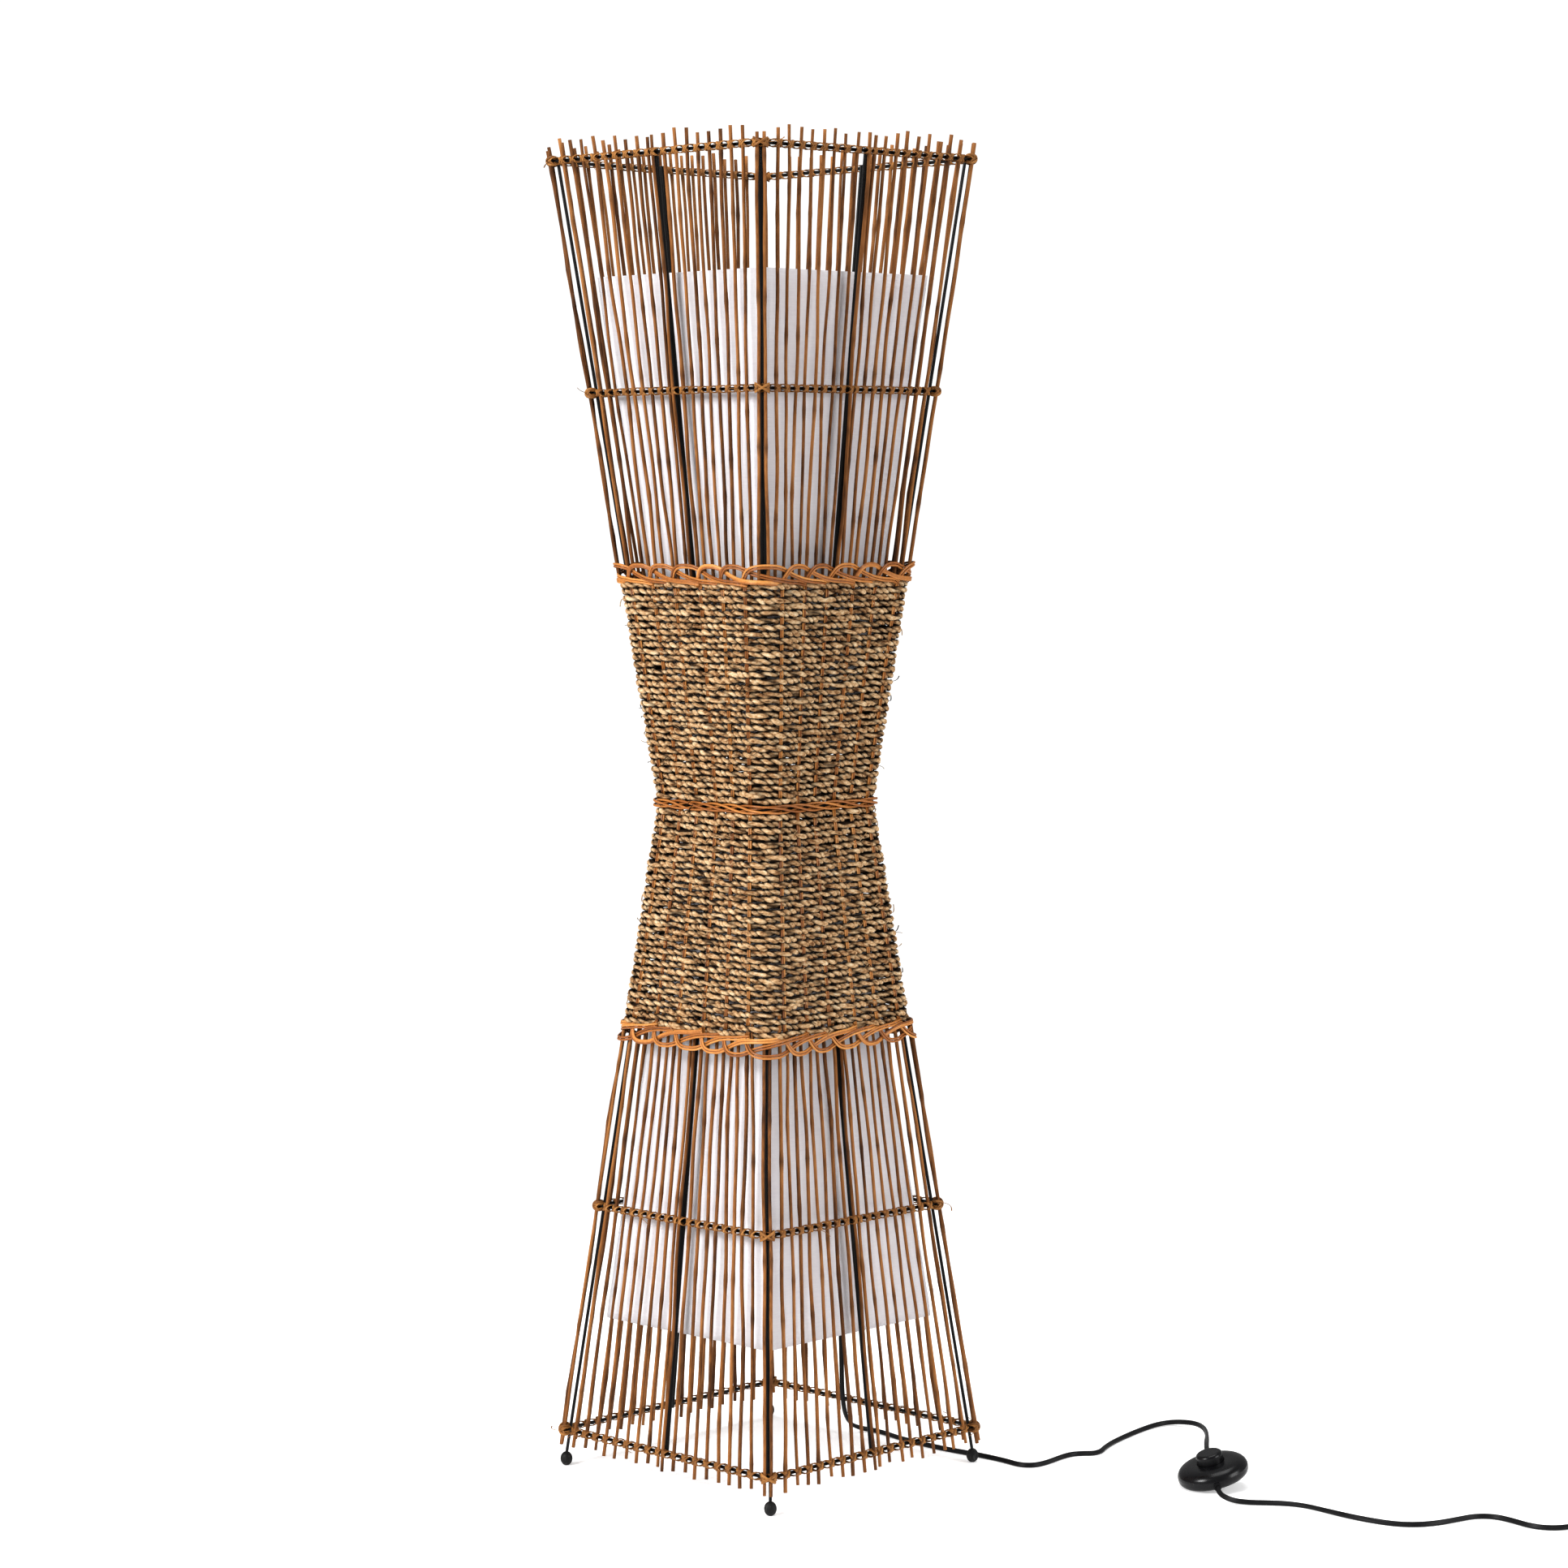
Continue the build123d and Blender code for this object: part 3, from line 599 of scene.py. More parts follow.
def gather(copies, name):
    """Join copies into one piece."""
    bpy.ops.object.select_all(action="DESELECT")
    for copy in copies:
        copy.select_set(True)
    bpy.context.view_layer.objects.active = copies[0]
    bpy.ops.object.join()
    copies[0].name = copies[0].data.name = name
    return copies[0]


for half_name, way in (("upper", 1), ("lower", -1)):
    for quarter, side_name in enumerate(("front", "right", "back", "left")):
        turned = Matrix.Rotation(quarter * math.pi / 2, 4, "Z")
        row = []
        for k in range(sticks_each_way):
            for side in (-1, 1):
                last = k == sticks_each_way - 1
                share = side * (corner_share if last else first_share + k * share_step)
                start = corner_rise if last else hidden_rise
                hidden = waist_z + way * (start + chance.uniform(-hidden_uneven, hidden_uneven))
                if way > 0:
                    free = top_z + top_overhang - chance.uniform(*top_uneven)
                    free -= corner_drop if last else 0
                else:
                    uneven = chance.uniform(-bottom_uneven, bottom_uneven)
                    free = bottom_z - bottom_overhang + uneven
                sway = chance.uniform(-most_sway, most_sway)
                ends = [
                    turned @ Vector((share * half_side(z) + s, -half_side(z) - stick_offset, z))
                    for z, s in ((hidden, 0), (free, sway))
                ]
                row.append(stand(chance.choice(patterns), *ends, chance.random()))
        piece = gather(row, f"{half_name}_rattan_{side_name}")
        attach(piece, "lamp")
        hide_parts(f"{half_name}_sticks_{side_name}")
for pattern in patterns:
    bpy.data.objects.remove(pattern)

# ---- Canes that the sleeve is woven on ----
# Round rattan core in pairs, six pairs a side, oiled to a caramel brown. They
# run from the waist to the borders, where they are turned down.
cane_radius = 0.00115
cane_offset = 0.0062
stake_shares = np.array((-0.116, -0.071, -0.026, 0.026, 0.071, 0.116)) / ring_half
cane_end_gap = 0.001
sleeve_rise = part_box("seagrass_sleeve_upper")[1].z - waist_z

caramel = Finish("caramel_cane", specular_ior_level=0.5, coat_weight=0.15, coat_roughness=0.25)
own = caramel.carried("tone")
run = caramel.carried("along")
grain = caramel.noise(caramel.joined(own * 50.0, run * 14.0, 0.0), 1.0, 4)
fleck = caramel.noise(caramel.place(), 520, 3)
share = 0.45 * own + 0.65 * grain + 0.35 * fleck - 0.25
caramels = [
    (0.1, (0.14, 0.044, 0.009)),
    (0.35, (0.34, 0.120, 0.024)),
    (0.6, (0.57, 0.245, 0.058)),
    (0.85, (0.76, 0.40, 0.125)),
]
# Painted shade: the inner side of each cane, by its outer share, is mixed towards a dark brown.
painted_inner_shade = caramel.ramp(caramel.carried("outer"), [(0.1, (0, 0, 0)), (0.55, (1, 1, 1))])
golden = caramel.ramp(share, caramels)
caramel.give("Base Color", caramel.mix(painted_inner_shade, (0.10, 0.032, 0.008, 1), golden))
caramel.give("Roughness", 0.28 + 0.3 * fleck)
caramel.bump(fleck, 0.0002, 0.5)

stakes = []
spans = np.linspace(0, 1, 12)[:, None]
for way in (1, -1):
    for quarter in range(4):
        turned = np.array(Matrix.Rotation(quarter * math.pi / 2, 3, "Z"))
        for stake in stake_shares:
            for cane in (-1.02, 1.02):
                ends = []
                for rise in (cane_end_gap, sleeve_rise - cane_end_gap):
                    z = waist_z + way * rise
                    x = stake * half_side(z) + cane * cane_radius
                    ends.append(turned @ (x, -half_side(z) - cane_offset, z))
                stakes.append(ends[0] * (1 - spans) + ends[1] * spans)
stake_piece = strands("cane_stakes", stakes, (0.3, 0.2, 0.1), cane_radius, cane_radius, oval(7))
stake_piece.data.materials.append(caramel.material)
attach(stake_piece, "lamp")
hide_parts("weaving_stakes")

# ---- Seagrass sleeve ----
# Two-ply twisted seagrass rope, woven in rows before and behind the paired
# canes, each row the other way round from the last. The rope is uneven, straw
# and brown with a little olive, and it frays.
row_pitch = 0.0064
rope_half = 0.0035
strand_half = 0.0021
lay = 0.0230
weave_swing = 0.0021
rope_inset = 0.0005
swing_uneven = 0.0006
row_uneven = 0.0008
twist_uneven = 2.2
rope_uneven = 0.2
strand_uneven = 0.3
strand_spread = 1.12  # how much wider than thick a strand is pressed
sleeve_corner = 0.022
row_step = 0.0019


def along_side(quarter, reach, z, offset, corner):
    """Places round the lamp at a reach from the middle of a side, and their outward way."""
    half = half_side(z) + offset
    straight = half - corner
    past = np.clip((np.abs(reach) - straight) / corner, 0, None)
    x = np.sign(reach) * (np.minimum(np.abs(reach), straight) + corner * np.sin(past))
    y = -straight - corner * np.cos(past)
    nx, ny = np.sign(reach) * np.sin(past), -np.cos(past)
    c, s = np.cos(quarter * math.pi / 2), np.sin(quarter * math.pi / 2)
    places = np.stack([x * c - y * s, x * s + y * c, z + 0 * x], axis=-1)
    outward = np.stack([nx * c - ny * s, nx * s + ny * c, 0 * nx], axis=-1)
    return places, outward


def quarter_length(z, offset, corner):
    """Length of a quarter of the way round."""
    return 2 * (half_side(z) + offset - corner) + math.pi / 2 * corner


def evenly(z, offset, corner, steps):
    """Quarter, reach and stake count at even steps round the lamp."""
    length = quarter_length(z, offset, corner)
    turn = np.arange(steps) * 4 / steps
    quarter = np.floor(turn)
    reach = (turn - quarter - 0.5) * length
    edge = length / 2 / half_side(z)
    marks = np.concatenate([[-edge], stake_shares, [edge]])
    stake = np.interp(reach / half_side(z), marks, [-0.5, 0, 1, 2, 3, 4, 5, 5.5]) + 6 * quarter
    return quarter, reach, stake


def slow_noise(steps, waves):
    """Smooth uneven run from -1 to 1 that closes on itself."""
    turn = np.arange(steps) * 2 * math.pi / steps
    total = sum(
        spread.normal() * np.sin(k * turn) + spread.normal() * np.cos(k * turn)
        for k in range(1, waves)
    )
    return total / np.abs(total).max()


grass = Finish("seagrass", roughness=0.85, specular_ior_level=0.15)
own = grass.carried("tone")
patch = grass.noise(grass.place((1, 1, 5.5)), 26, 3)
fine = grass.noise(grass.place((1, 1, 2)), 240, 3)
fibre = grass.noise(grass.place((1, 1, 1.6)), 1100, 2)
share = 0.36 * own + 0.42 * patch + 1.15 * fine - 0.46
straws = [
    (0.12, (0.070, 0.029, 0.011)),
    (0.28, (0.27, 0.138, 0.060)),
    (0.46, (0.58, 0.37, 0.195)),
    (0.66, (0.83, 0.61, 0.375)),
    (0.9, (0.95, 0.83, 0.61)),
]
straw = grass.ramp(share, straws)
mottle = grass.noise(grass.place((1, 1, 3)), 70, 2)
olive_patch = grass.ramp(mottle, [(0.62, (0, 0, 0)), (0.76, (1, 1, 1))])
straw = grass.mix(olive_patch * 0.15, straw, (0.26, 0.17, 0.07, 1))
straw = grass.mix((1 - fibre) * 0.35, straw, (0.17, 0.082, 0.034, 1))
# Painted shade: the rope is mixed towards a near-black brown by depth from its heart, so only the crown
# keeps the straw colour.
crown = grass.ramp(grass.carried("outer"), [(0.34, (0, 0, 0)), (0.83, (1, 1, 1))])
grass.give("Base Color", grass.mix(crown, (0.022, 0.011, 0.005, 1), straw))
grass.bump(fibre + 0.6 * fine, 0.0007, 0.9)


sleeve_bottoms = {1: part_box("seagrass_sleeve_upper")[0].z, -1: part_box("seagrass_sleeve_lower")[1].z}
rows_each_way = int(round((sleeve_rise - (sleeve_bottoms[1] - waist_z)) / row_pitch))
bands = 3
rope_rows = []
for way, half_name in ((1, "upper"), (-1, "lower")):
    for band in range(bands):
        first_row = band * rows_each_way // bands
        last_row = (band + 1) * rows_each_way // bands
        widest = waist_z + way * (last_row * row_pitch + sleeve_bottoms[1] - waist_z)
        steps = int(4 * quarter_length(widest, cane_offset, sleeve_corner) / row_step)
        lines, facings, thicks, tones, hearts, ways_out = [], [], [], [], [], []
        for row in range(first_row, last_row):
            z = sleeve_bottoms[way] + way * (row + 0.5) * row_pitch
            quarter, reach, stake = evenly(z, cane_offset, sleeve_corner, steps)
            swing = weave_swing * np.cos(math.pi * (stake + row)) + swing_uneven * slow_noise(steps, 30)
            rise = row_uneven * slow_noise(steps, 24)
            offset = cane_offset - rope_inset + swing
            middle, outward = along_side(quarter, reach, z + rise, offset, sleeve_corner)
            rope_rows.append((middle, outward))
            around = 4 * quarter_length(z, cane_offset, sleeve_corner)
            turns = round(around / lay)
            angle = -2 * math.pi * turns * np.arange(steps) / steps
            angle += 2 * math.pi * chance.random() + twist_uneven * slow_noise(steps, 30)
            fat = 1 + rope_uneven * slow_noise(steps, 36)
            for ply in (0, math.pi):
                swing_out = np.cos(angle + ply)[:, None] * outward
                swing_up = np.sin(angle + ply)[:, None] * np.array((0, 0, 1.0))
                facing = swing_out + swing_up
                lines.append(middle + (rope_half - strand_half) * fat[:, None] * facing)
                facings.append(facing)
                hearts.append(middle)
                ways_out.append(outward)
                thicks.append(strand_half * fat * (1 + strand_uneven * slow_noise(steps, 70)))
                tones.append(0.5 + 0.5 * slow_noise(steps, 50))
        piece = strands(
            f"{half_name}_seagrass_{band + 1}",
            lines,
            np.array(facings),
            np.array(thicks) * strand_spread,
            np.array(thicks),
            oval(6, math.pi / 2),  # a corner on the crown
            closed=True,
            tones=np.array(tones),
        )
        # Each point's depth out from the rope's heart replaces its outer share; the seagrass finish
        # paints shade into the deep parts by it.
        skin = np.zeros(len(piece.data.vertices) * 3)
        piece.data.vertices.foreach_get("co", skin)
        skin = skin.reshape(len(lines), steps, -1, 3) - np.array(hearts)[:, :, None]
        depth = (skin * np.array(ways_out)[:, :, None]).sum(axis=-1) / rope_half
        piece.data.attributes["outer"].data.foreach_set("value", depth.ravel().astype(np.float32))
        piece.data.materials.append(grass.material)
        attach(piece, "lamp")
        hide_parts(f"seagrass_sleeve_{half_name}")

frays = []
fray_count = 620
fray_steps = 7
fray_half_width = 0.00048
fray_half_thick = 0.00022
fray_lengths = (0.005, 0.015)
fray_lifts = (0.1, 0.5)
most_droop = 0.7
for _ in range(fray_count):
    middle, outward = chance.choice(rope_rows)
    at = chance.randrange(len(middle))
    ahead = middle[(at + 2) % len(middle)] - middle[at]
    ahead = ahead / np.linalg.norm(ahead) * chance.choice((-1, 1))
    length = chance.uniform(*fray_lengths)
    lift = chance.uniform(*fray_lifts)
    droop = chance.uniform(-most_droop, most_droop)
    share = np.linspace(0, 1, fray_steps)[:, None]
    start = middle[at] + outward[at] * rope_half * 0.8
    bow = length * (ahead * share + outward[at] * lift * share**0.7 * (1.3 - share))
    frays.append(start + bow + np.array((0, 0, 1.0)) * length * droop * share**2)
fray_piece = strands("seagrass_frays", frays, (0.1, 0.2, 1), fray_half_width, fray_half_thick, oval(4))
fray_piece.data.materials.append(grass.material)
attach(fray_piece, "lamp")

# ---- Rolled borders ----
# Where the sleeve ends, each pair of canes is bent over along the edge, passed
# behind the next pair and tucked down in front of the one after.
border_corner = 0.022
border_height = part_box("top_braid")[1].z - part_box("top_braid")[0].z
roll_marks = np.array((-0.12, -0.02, 0.06, 0.2, 0.42, 0.8, 1.08, 1.4, 1.8, 2.2, 2.6, 3.05))
roll_rises = np.array((-0.30, 0.0, 0.42, 0.72, 0.86, 0.84, 0.64, 0.36, 0.12, 0.0, -0.04, -0.16))
roll_offsets = np.array((66, 78, 98, 110, 108, 94, 76, 86, 98, 104, 96, 70)) / 10000
roll_steps = 46
cane_pitch = 1.05 * cane_radius
stake_pitch = 0.031
slope_run = 0.03
tuck_uneven = 0.05


def at_stake(stake, z, offset):
    """Places round the lamp by stake count, six to a side and a corner after each sixth."""
    quarter = np.floor((stake + 0.5) / 6)
    local = stake - 6 * quarter
    edge = quarter_length(z, offset, border_corner) / 2 / half_side(z)
    reach = np.where(
        local < 0,
        -edge + (local + 0.5) * 2 * (edge + stake_shares[0]),
        np.where(
            local > 5,
            stake_shares[5] + (local - 5) * 2 * (edge - stake_shares[5]),
            np.interp(local, np.arange(6), stake_shares),
        ),
    )
    return along_side(quarter, reach * half_side(z), z, offset, border_corner)


for name, way, node in (("top_border", 1, "top_braid"), ("bottom_border", -1, "bottom_braid")):
    edge_z = waist_z + way * sleeve_rise
    lines, facings = [], []
    for stake in range(24):
        reach_out = chance.uniform(-tuck_uneven, tuck_uneven)
        for cane in (-1, 0, 1) if stake % 3 == 0 else (-1, 1):
            share = np.linspace(roll_marks[0], roll_marks[-1] + reach_out, roll_steps)
            rise = np.interp(share, roll_marks, roll_rises) * border_height
            offset = np.interp(share, roll_marks, roll_offsets)
            for _ in range(2):
                rise[1:-1] = (rise[:-2] + 2 * rise[1:-1] + rise[2:]) / 4
                offset[1:-1] = (offset[:-2] + 2 * offset[1:-1] + offset[2:]) / 4
            climb = np.gradient(rise)
            slope = climb / np.maximum(np.hypot(climb, np.gradient(share) * slope_run), 1e-6)
            flat = np.sqrt(np.clip(1 - slope**2, 0, 1))
            rise = rise + cane * cane_pitch * flat
            slide = -cane * cane_pitch * slope / stake_pitch
            z = edge_z + way * rise
            places, outward = at_stake(stake + share + slide, z, offset)
            lines.append(places)
            facings.append(outward)
    piece = strands(name, lines, np.array(facings), cane_radius * 0.98, cane_radius * 0.98, oval(8))
    piece.data.materials.append(caramel.material)
    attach(piece, "lamp")
    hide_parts(node)

# ---- Waist band ----
# Four round canes twined round the lamp at its narrowest, two before and two
# behind the stakes at a time, which hold the two halves of the weave together.
band_steps = 560
band_offset = 0.0088
band_inner = 0.0085
band_swing = 0.0018
band_half = (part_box("waist_band")[1].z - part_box("waist_band")[0].z) / 2 + 0.001
quarter, reach, stake = evenly(waist_z, band_inner, sleeve_corner, band_steps)
lines, facings = [], []
for cane in range(4):
    angle = 2 * math.pi * stake / 4 + cane * math.pi / 2
    climb = 0.78 * np.cos(angle) + 0.12 * slow_noise(band_steps, 12)
    z = waist_z + (band_half - cane_radius) * climb
    offset = band_offset + band_swing * np.sin(angle)
    places, outward = along_side(quarter, reach, z, offset, sleeve_corner)
    lines.append(places)
    facings.append(outward)
band_piece = strands(
    "waist_twining", lines, np.array(facings), cane_radius, cane_radius, oval(8), closed=True
)
band_piece.data.materials.append(caramel.material)
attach(band_piece, "lamp")
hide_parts("waist_band")

# ---- Lashings ----
# Split rattan strip, soaked and wound round each ring so that it crosses over
# every stick in an X and passes behind the wire to the next. The corners have
# a larger cross, and odd ends are left loose.
strip_half = 0.0012
strip_thick = 0.00045
lash_rise = (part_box("top_lashing")[1].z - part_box("top_lashing")[0].z) / 2
steps_per_stick = 12
strip_swing = 1.12
strip_middle = 0.0018
strip_depth = 0.0040
hand_gap = 0.0002
strip_lag = 0.16
pull_uneven = 0.2
wire_corner = 0.004
loops_each_way = 3
cross_inset = 0.0004
cross_tall = 0.0024
cross_tall_step = 0.0008
cross_uneven = 0.0005
cross_broad = 0.0062
cross_deep = 0.0058
cross_step = 0.0003
tails_per_ring = 14
tail_offset = 0.005
tail_lengths = (0.006, 0.016)
tail_half_width = 0.0006
tail_half_thick = 0.00025

strip = Finish("split_strip", roughness=0.5, specular_ior_level=0.35)
own = strip.carried("tone")
run = strip.carried("along")
grain = strip.noise(strip.joined(own * 50.0, run * 60.0, 0.0), 1.0, 4)
fleck = strip.noise(strip.place(), 700, 2)
strip_browns = [
    (0.15, (0.060, 0.022, 0.006)),
    (0.45, (0.22, 0.092, 0.022)),
    (0.75, (0.42, 0.20, 0.055)),
    (1.0, (0.58, 0.33, 0.12)),
]
strip.give("Base Color", strip.ramp(0.35 * own + 0.5 * grain + 0.5 * fleck - 0.12, strip_browns))
strip.give("Roughness", 0.38 + 0.3 * fleck)
strip.bump(fleck, 0.0002, 0.6)

one_way = [first_share + k * share_step for k in range(sticks_each_way - 1)] + [corner_share]
stick_shares = np.array([-share for share in reversed(one_way)] + one_way)
for name in ("top_lashing", "upper_mid_lashing", "lower_mid_lashing", "bottom_lashing"):
    low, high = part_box(name)
    ring_z = (low.z + high.z) / 2
    lines, facings = [], []
    for quarter in range(4):
        count = np.arange(-0.45, 2 * sticks_each_way - 0.55, 1 / steps_per_stick)
        share = np.interp(count, np.arange(2 * sticks_each_way), stick_shares)
        share += np.where(count < 0, count * 0.03, 0)
        for hand, shift in ((-1, -0.5), (1, -0.5), (-1, 0.5), (1, 0.5)):
            pull = 1 + pull_uneven * np.interp(count, np.arange(-1, 21), spread.uniform(-1, 1, 22))
            angle = 2 * math.pi * (count + strip_lag * shift)
            rise = hand * lash_rise * strip_swing * pull * np.sin(angle)
            front = np.sign(np.cos(angle)) * np.abs(np.cos(angle)) ** 0.7
            offset = strip_middle + (strip_depth + hand_gap * hand) * front
            z = ring_z + rise
            places, outward = along_side(quarter, share * half_side(z), z, offset, wire_corner)
            up = np.array((0, 0, 1.0))
            facings.append(outward * np.cos(angle)[:, None] + hand * up * np.sin(angle)[:, None])
            lines.append(places)
    piece = strands(name + "_strip", lines, np.array(facings), strip_half, strip_thick, oval(6))
    crosses, cross_facings = [], []
    half = half_side(ring_z)
    for quarter in range(4):
        bearing = math.pi / 4 * (2 * quarter - 1)
        diagonal = np.array((math.cos(bearing), math.sin(bearing), 0))
        sideways = np.array((-diagonal[1], diagonal[0], 0))
        corner = diagonal * (half * math.sqrt(2) - cross_inset) + np.array((0, 0, ring_z))
        for hand in (-1, 1):
            for loop in range(loops_each_way):
                angle = np.linspace(0, 2 * math.pi, 24, endpoint=False)
                uneven = chance.uniform(-cross_uneven, cross_uneven)
                tall = cross_tall + cross_tall_step * loop + uneven
                broad = cross_broad + cross_step * loop
                deep = cross_deep + cross_step * loop
                ring = (
                    corner
                    + np.outer(np.cos(angle), diagonal) * deep
                    + np.outer(np.sin(angle), sideways) * broad
                    + np.outer(np.sin(angle), (0, 0, hand * tall))
                )
                crosses.append(ring)
                facing = np.outer(np.cos(angle), diagonal) + np.outer(np.sin(angle), sideways) * 0.8
                cross_facings.append(facing)
    cross_facings = np.array(cross_facings)
    cross_piece = strands(
        name + "_crosses", crosses, cross_facings, strip_half, strip_thick, oval(6), closed=True
    )
    tails = []
    for _ in range(tails_per_ring):
        quarter = chance.randrange(4)
        share = chance.choice((-0.97, 0.97)) if chance.random() < 0.3 else chance.uniform(-0.9, 0.9)
        reach, level = np.array([share * half]), np.array([ring_z])
        place, outward = along_side(quarter, reach, level, tail_offset, wire_corner)
        length = chance.uniform(*tail_lengths)
        side_way = np.cross((0, 0, 1), outward[0]) * chance.choice((-1, 1))
        bow = np.linspace(0, 1, 9)[:, None]
        curl = side_way * bow + outward[0] * 0.5 * np.sin(bow * chance.uniform(1.5, 3))
        fall = np.array((0, 0, 1.0)) * chance.uniform(-0.9, 0.5) * bow**1.6
        tails.append(place[0] + length * (curl + fall))
    tail_piece = strands(
        name + "_tails", tails, (0.2, 0.3, 1), tail_half_width, tail_half_thick, oval(4)
    )
    for made in (piece, cross_piece, tail_piece):
        made.data.materials.append(strip.material)
        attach(made, "lamp")
    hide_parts(name)

# ---- Shades ----
# White cotton on a stiff clear backing, cut flat, glued into a four-sided
# funnel and stretched over a wire hoop at each end. It ripples a little along
# its edges.
cloth_finish = Finish("shade_cloth", roughness=0.88, specular_ior_level=0.2, sheen_weight=0.25)
warp = cloth_finish.node(
    "ShaderNodeTexWave",
    {"bands_direction": "Z"},
    {"Vector": cloth_finish.place(), "Scale": 420, "Distortion": 1.2, "Detail": 2, "Detail Scale": 3},
)
slub = cloth_finish.noise(cloth_finish.place((1, 1, 14)), 60, 3)
soil = cloth_finish.noise(cloth_finish.place(), 9, 3)
white = cloth_finish.mix(slub, (0.74, 0.725, 0.765, 1), (0.84, 0.83, 0.855, 1))
cloth_finish.give("Base Color", cloth_finish.mix(soil * 0.2, white, (0.76, 0.73, 0.72, 1)))
cloth_finish.bump(warp + 1.4 * slub, 0.00025, 0.5)

cloth_wall = 0.0008
shade_cuts = 31
cockle_strength = 0.0035
for name, way in (("upper", 1), ("lower", -1)):
    low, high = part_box(name + "_shade")
    tall = high.z - low.z
    broad = high.x
    gap = half_side(high.z if way > 0 else low.z) - broad
    narrow = half_side(low.z if way > 0 else high.z) - gap
    bpy.ops.object.select_all(action="DESELECT")
    bpy.ops.mesh.primitive_cone_add(
        vertices=4,
        radius1=(narrow if way > 0 else broad) * math.sqrt(2),
        radius2=(broad if way > 0 else narrow) * math.sqrt(2),
        depth=tall,
        end_fill_type="NOTHING",
        location=(0, 0, (low.z + high.z) / 2),
        rotation=(0, 0, math.pi / 4),
    )
    shade = bpy.context.object
    shade.name = shade.data.name = name + "_shade_cloth"
    bpy.ops.object.transform_apply(location=True, rotation=True)
    bpy.ops.object.mode_set(mode="EDIT")
    bpy.ops.mesh.select_all(action="SELECT")
    bpy.ops.mesh.subdivide(number_cuts=shade_cuts)
    bpy.ops.object.mode_set(mode="OBJECT")
    corner_round = shade.modifiers.new("soft_corners", "SMOOTH")
    corner_round.iterations = 2
    corner_round.use_z = False
    bpy.ops.object.modifier_apply(modifier=corner_round.name)
    ripple = bpy.data.textures.new("ripple", "CLOUDS")
    ripple.noise_scale = 0.09
    cockle = shade.modifiers.new("cockle", "DISPLACE")
    cockle.texture = ripple
    cockle.texture_coords = "GLOBAL"
    cockle.strength = cockle_strength
    bpy.ops.object.modifier_apply(modifier=cockle.name)
    wall = shade.modifiers.new("wall", "SOLIDIFY")
    wall.thickness = cloth_wall
    wall.offset = -1
    bpy.ops.object.modifier_apply(modifier=wall.name)
    shade.data.shade_smooth()
    shade.data.materials.append(cloth_finish.material)
    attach(shade, "lamp")
    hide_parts(name + "_shade")

white_lacquer = Finish("white_lacquer", roughness=0.35)
cloud = white_lacquer.noise(white_lacquer.place(), 70, 4)
white_lacquer.give("Base Color", white_lacquer.mix(cloud, (0.72, 0.71, 0.69, 1), (0.86, 0.86, 0.85, 1)))
white_lacquer.give("Roughness", 0.25 + 0.25 * cloud)
white_lacquer.bump(white_lacquer.noise(white_lacquer.place(), 800, 2), 0.0001, 0.5)
dress(white_lacquer, "white_wire")

# ---- Lampholders, bulbs and the fittings at the waist ----
# Moulded black holders screwed on a threaded tube each side of a zinc-plated
# crossbar, a black cup over the joint, and satin opal bulbs with rolled caps.
zinc = Finish("bright_zinc", metallic=1.0, roughness=0.32)
spangle = zinc.node("ShaderNodeTexVoronoi", {}, {"Vector": zinc.place(), "Scale": 380}, "Distance")
bloom = zinc.noise(zinc.place(), 120, 4)
zinc.give("Base Color", zinc.mix(bloom, (0.42, 0.42, 0.41, 1), (0.68, 0.68, 0.66, 1)))
zinc.give("Roughness", 0.22 + 0.2 * spangle + 0.15 * bloom)
zinc.bump(spangle, 0.0001, 0.4)
dress(zinc, "zinc_steel")

cup_finish = Finish("cup_lacquer", roughness=0.38)
cloud = cup_finish.noise(cup_finish.place(), 130, 5)
cup_finish.give("Base Color", cup_finish.mix(cloud, (0.012, 0.012, 0.013, 1), (0.035, 0.034, 0.034, 1)))
cup_finish.give("Roughness", 0.28 + 0.25 * cloud)
cup_finish.bump(cup_finish.noise(cup_finish.place(), 1300, 3), 0.0001, 0.6)
dress(cup_finish, "black_cup")

moulded = Finish("moulded_black", roughness=0.55)
pebble = moulded.noise(moulded.place(), 1500, 2)
handled = moulded.noise(moulded.place(), 110, 4)
moulded.give("Base Color", moulded.mix(handled, (0.014, 0.014, 0.014, 1), (0.036, 0.035, 0.034, 1)))
moulded.give("Roughness", 0.42 + 0.25 * handled)
moulded.bump(pebble, 0.00015, 0.8)
dress(moulded, "holder_plastic")

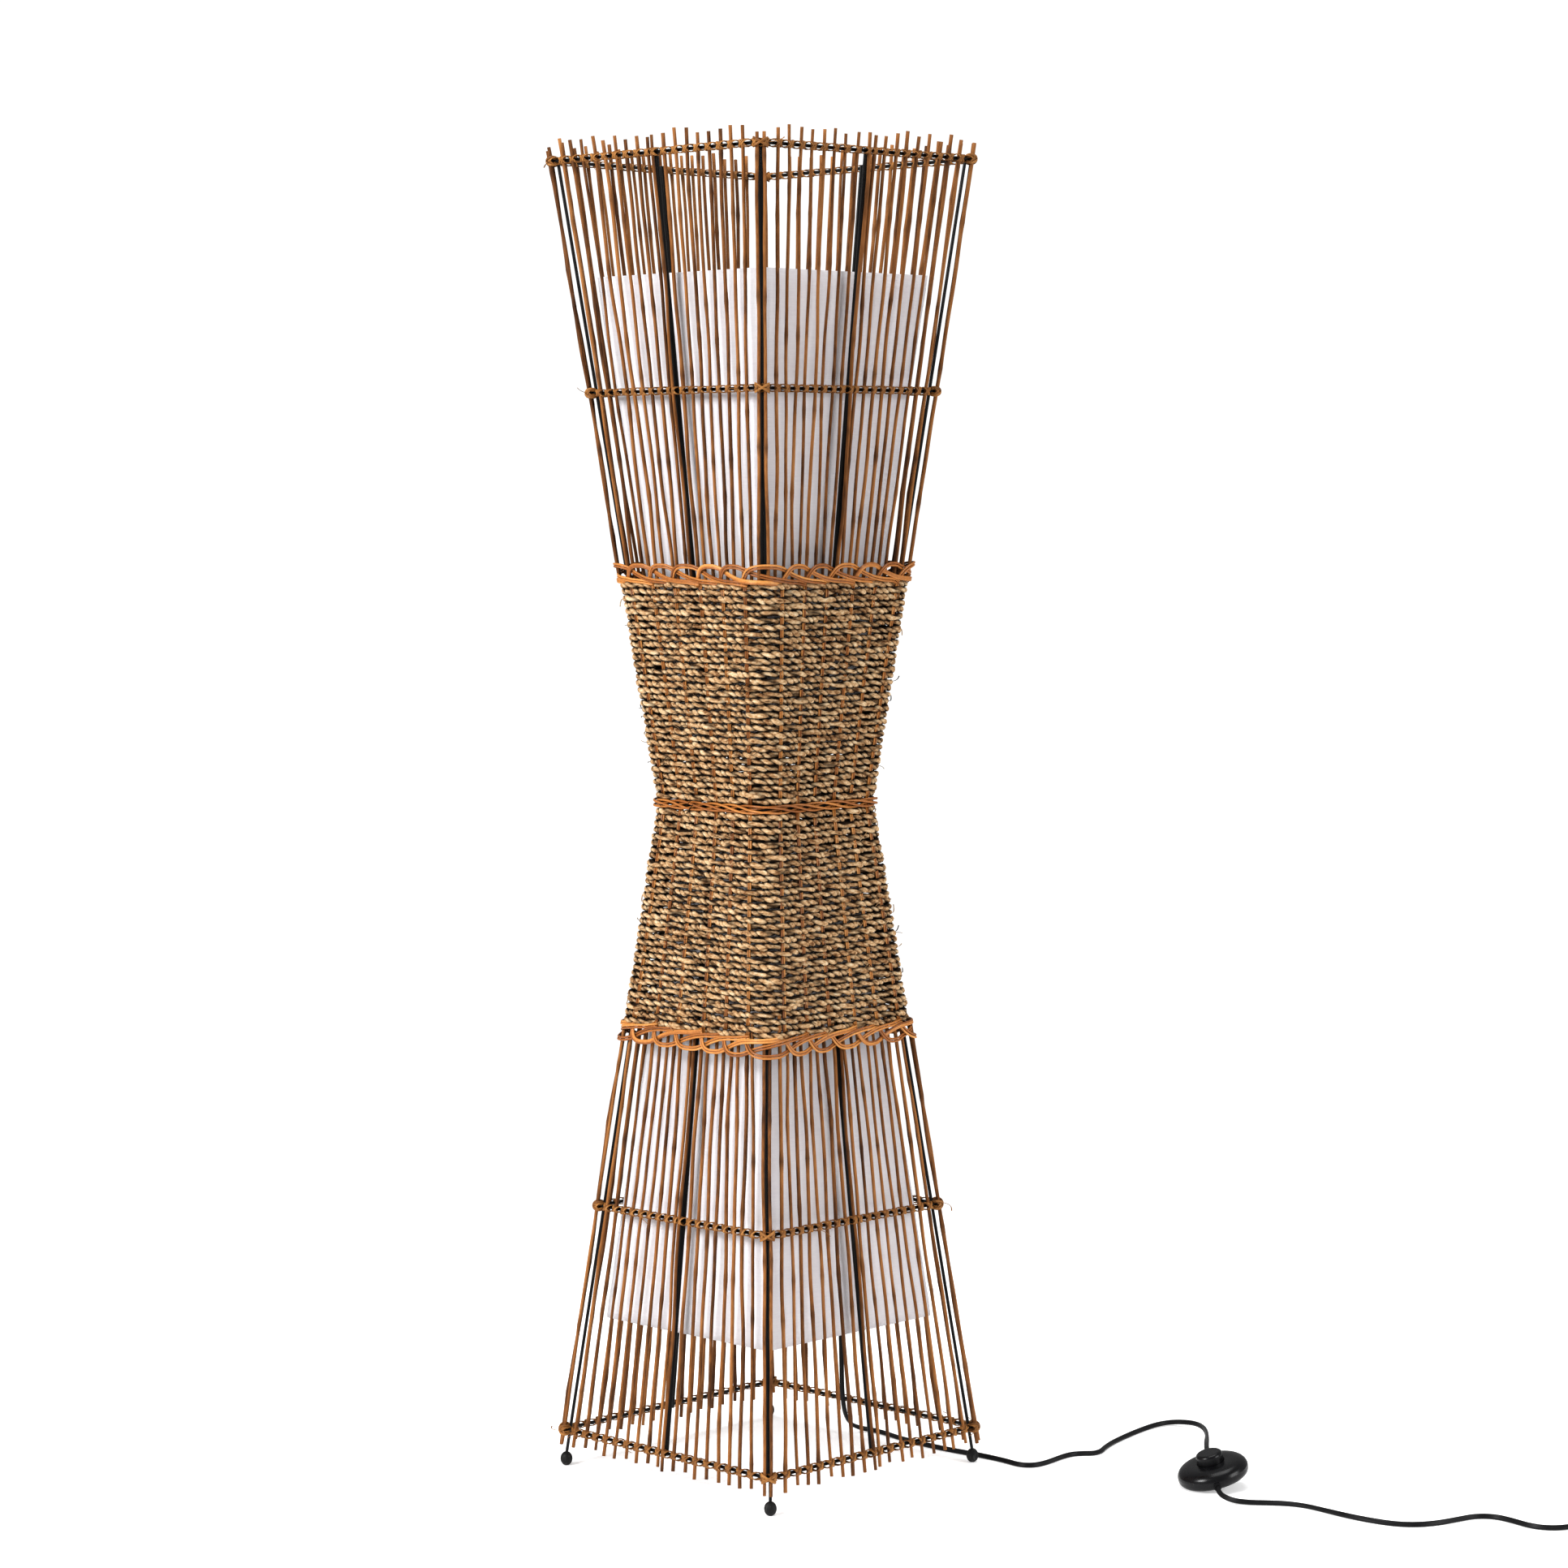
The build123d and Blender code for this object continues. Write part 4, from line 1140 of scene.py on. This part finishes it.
opal = Finish(
    "opal_glass", roughness=0.28, subsurface_weight=0.25, subsurface_radius=(0.01, 0.01, 0.01)
)
cloud = opal.noise(opal.place(), 45, 3)
opal.give("Base Color", opal.mix(cloud, (0.86, 0.86, 0.84, 1), (0.93, 0.93, 0.92, 1)))
opal.give("Roughness", 0.22 + 0.12 * cloud)
opal.bump(opal.noise(opal.place(), 700, 2), 0.00005, 0.4)
dress(opal, "opal_glass")

rolled = Finish("bulb_cap", metallic=1.0, roughness=0.3)
thread = rolled.node(
    "ShaderNodeTexWave",
    {"bands_direction": "Z"},
    {"Vector": rolled.place(), "Scale": 90.0, "Distortion": 0.3},
)
stain = rolled.noise(rolled.place(), 200, 4)
rolled.give("Base Color", rolled.mix(stain, (0.55, 0.54, 0.52, 1), (0.8, 0.8, 0.79, 1)))
rolled.give("Roughness", 0.2 + 0.3 * stain)
rolled.bump(thread, 0.001, 0.8)
dress(rolled, "bulb_metal")

# ---- Foot switch ----
# A round two-part shell in glossy black plastic, with a raised button in the
# middle, rubber bushes where the flex goes in and out, and screws below.
gloss = Finish("switch_shell", roughness=0.22, specular_ior_level=0.3, coat_weight=0.05)
smear = gloss.noise(gloss.place(), 85, 5)
scratch = gloss.noise(gloss.place((1, 6, 1), (0, 0, 0.6)), 500, 3)
scratched = gloss.ramp(scratch, [(0.66, (0.005, 0.005, 0.006)), (0.74, (0.035, 0.035, 0.036))])
gloss.give("Base Color", scratched)
gloss.give("Roughness", 0.16 + 0.22 * smear)
gloss.bump(gloss.noise(gloss.place(), 1700, 2), 0.00006, 0.5)
dress(gloss, "switch_plastic")
dress(flex_finish, "cord_rubber")

tie_finish = Finish("tie_coating", roughness=0.5)
crease = tie_finish.noise(tie_finish.place(), 600, 3)
tie_finish.give("Base Color", tie_finish.mix(crease, (0.015, 0.015, 0.016, 1), (0.05, 0.05, 0.05, 1)))
tie_finish.give("Roughness", 0.35 + 0.3 * crease)
tie_finish.bump(crease, 0.0002, 0.7)
dress(tie_finish, "tie_wire")

nickel = Finish("plated_brass", metallic=1.0, roughness=0.25)
rub = nickel.noise(nickel.place((1, 0.15, 1)), 900, 4)
nickel.give("Base Color", nickel.mix(rub, (0.56, 0.50, 0.38, 1), (0.78, 0.74, 0.64, 1)))
nickel.give("Roughness", 0.16 + 0.25 * rub)
nickel.bump(rub, 0.0001, 0.5)
dress(nickel, "plug_brass")
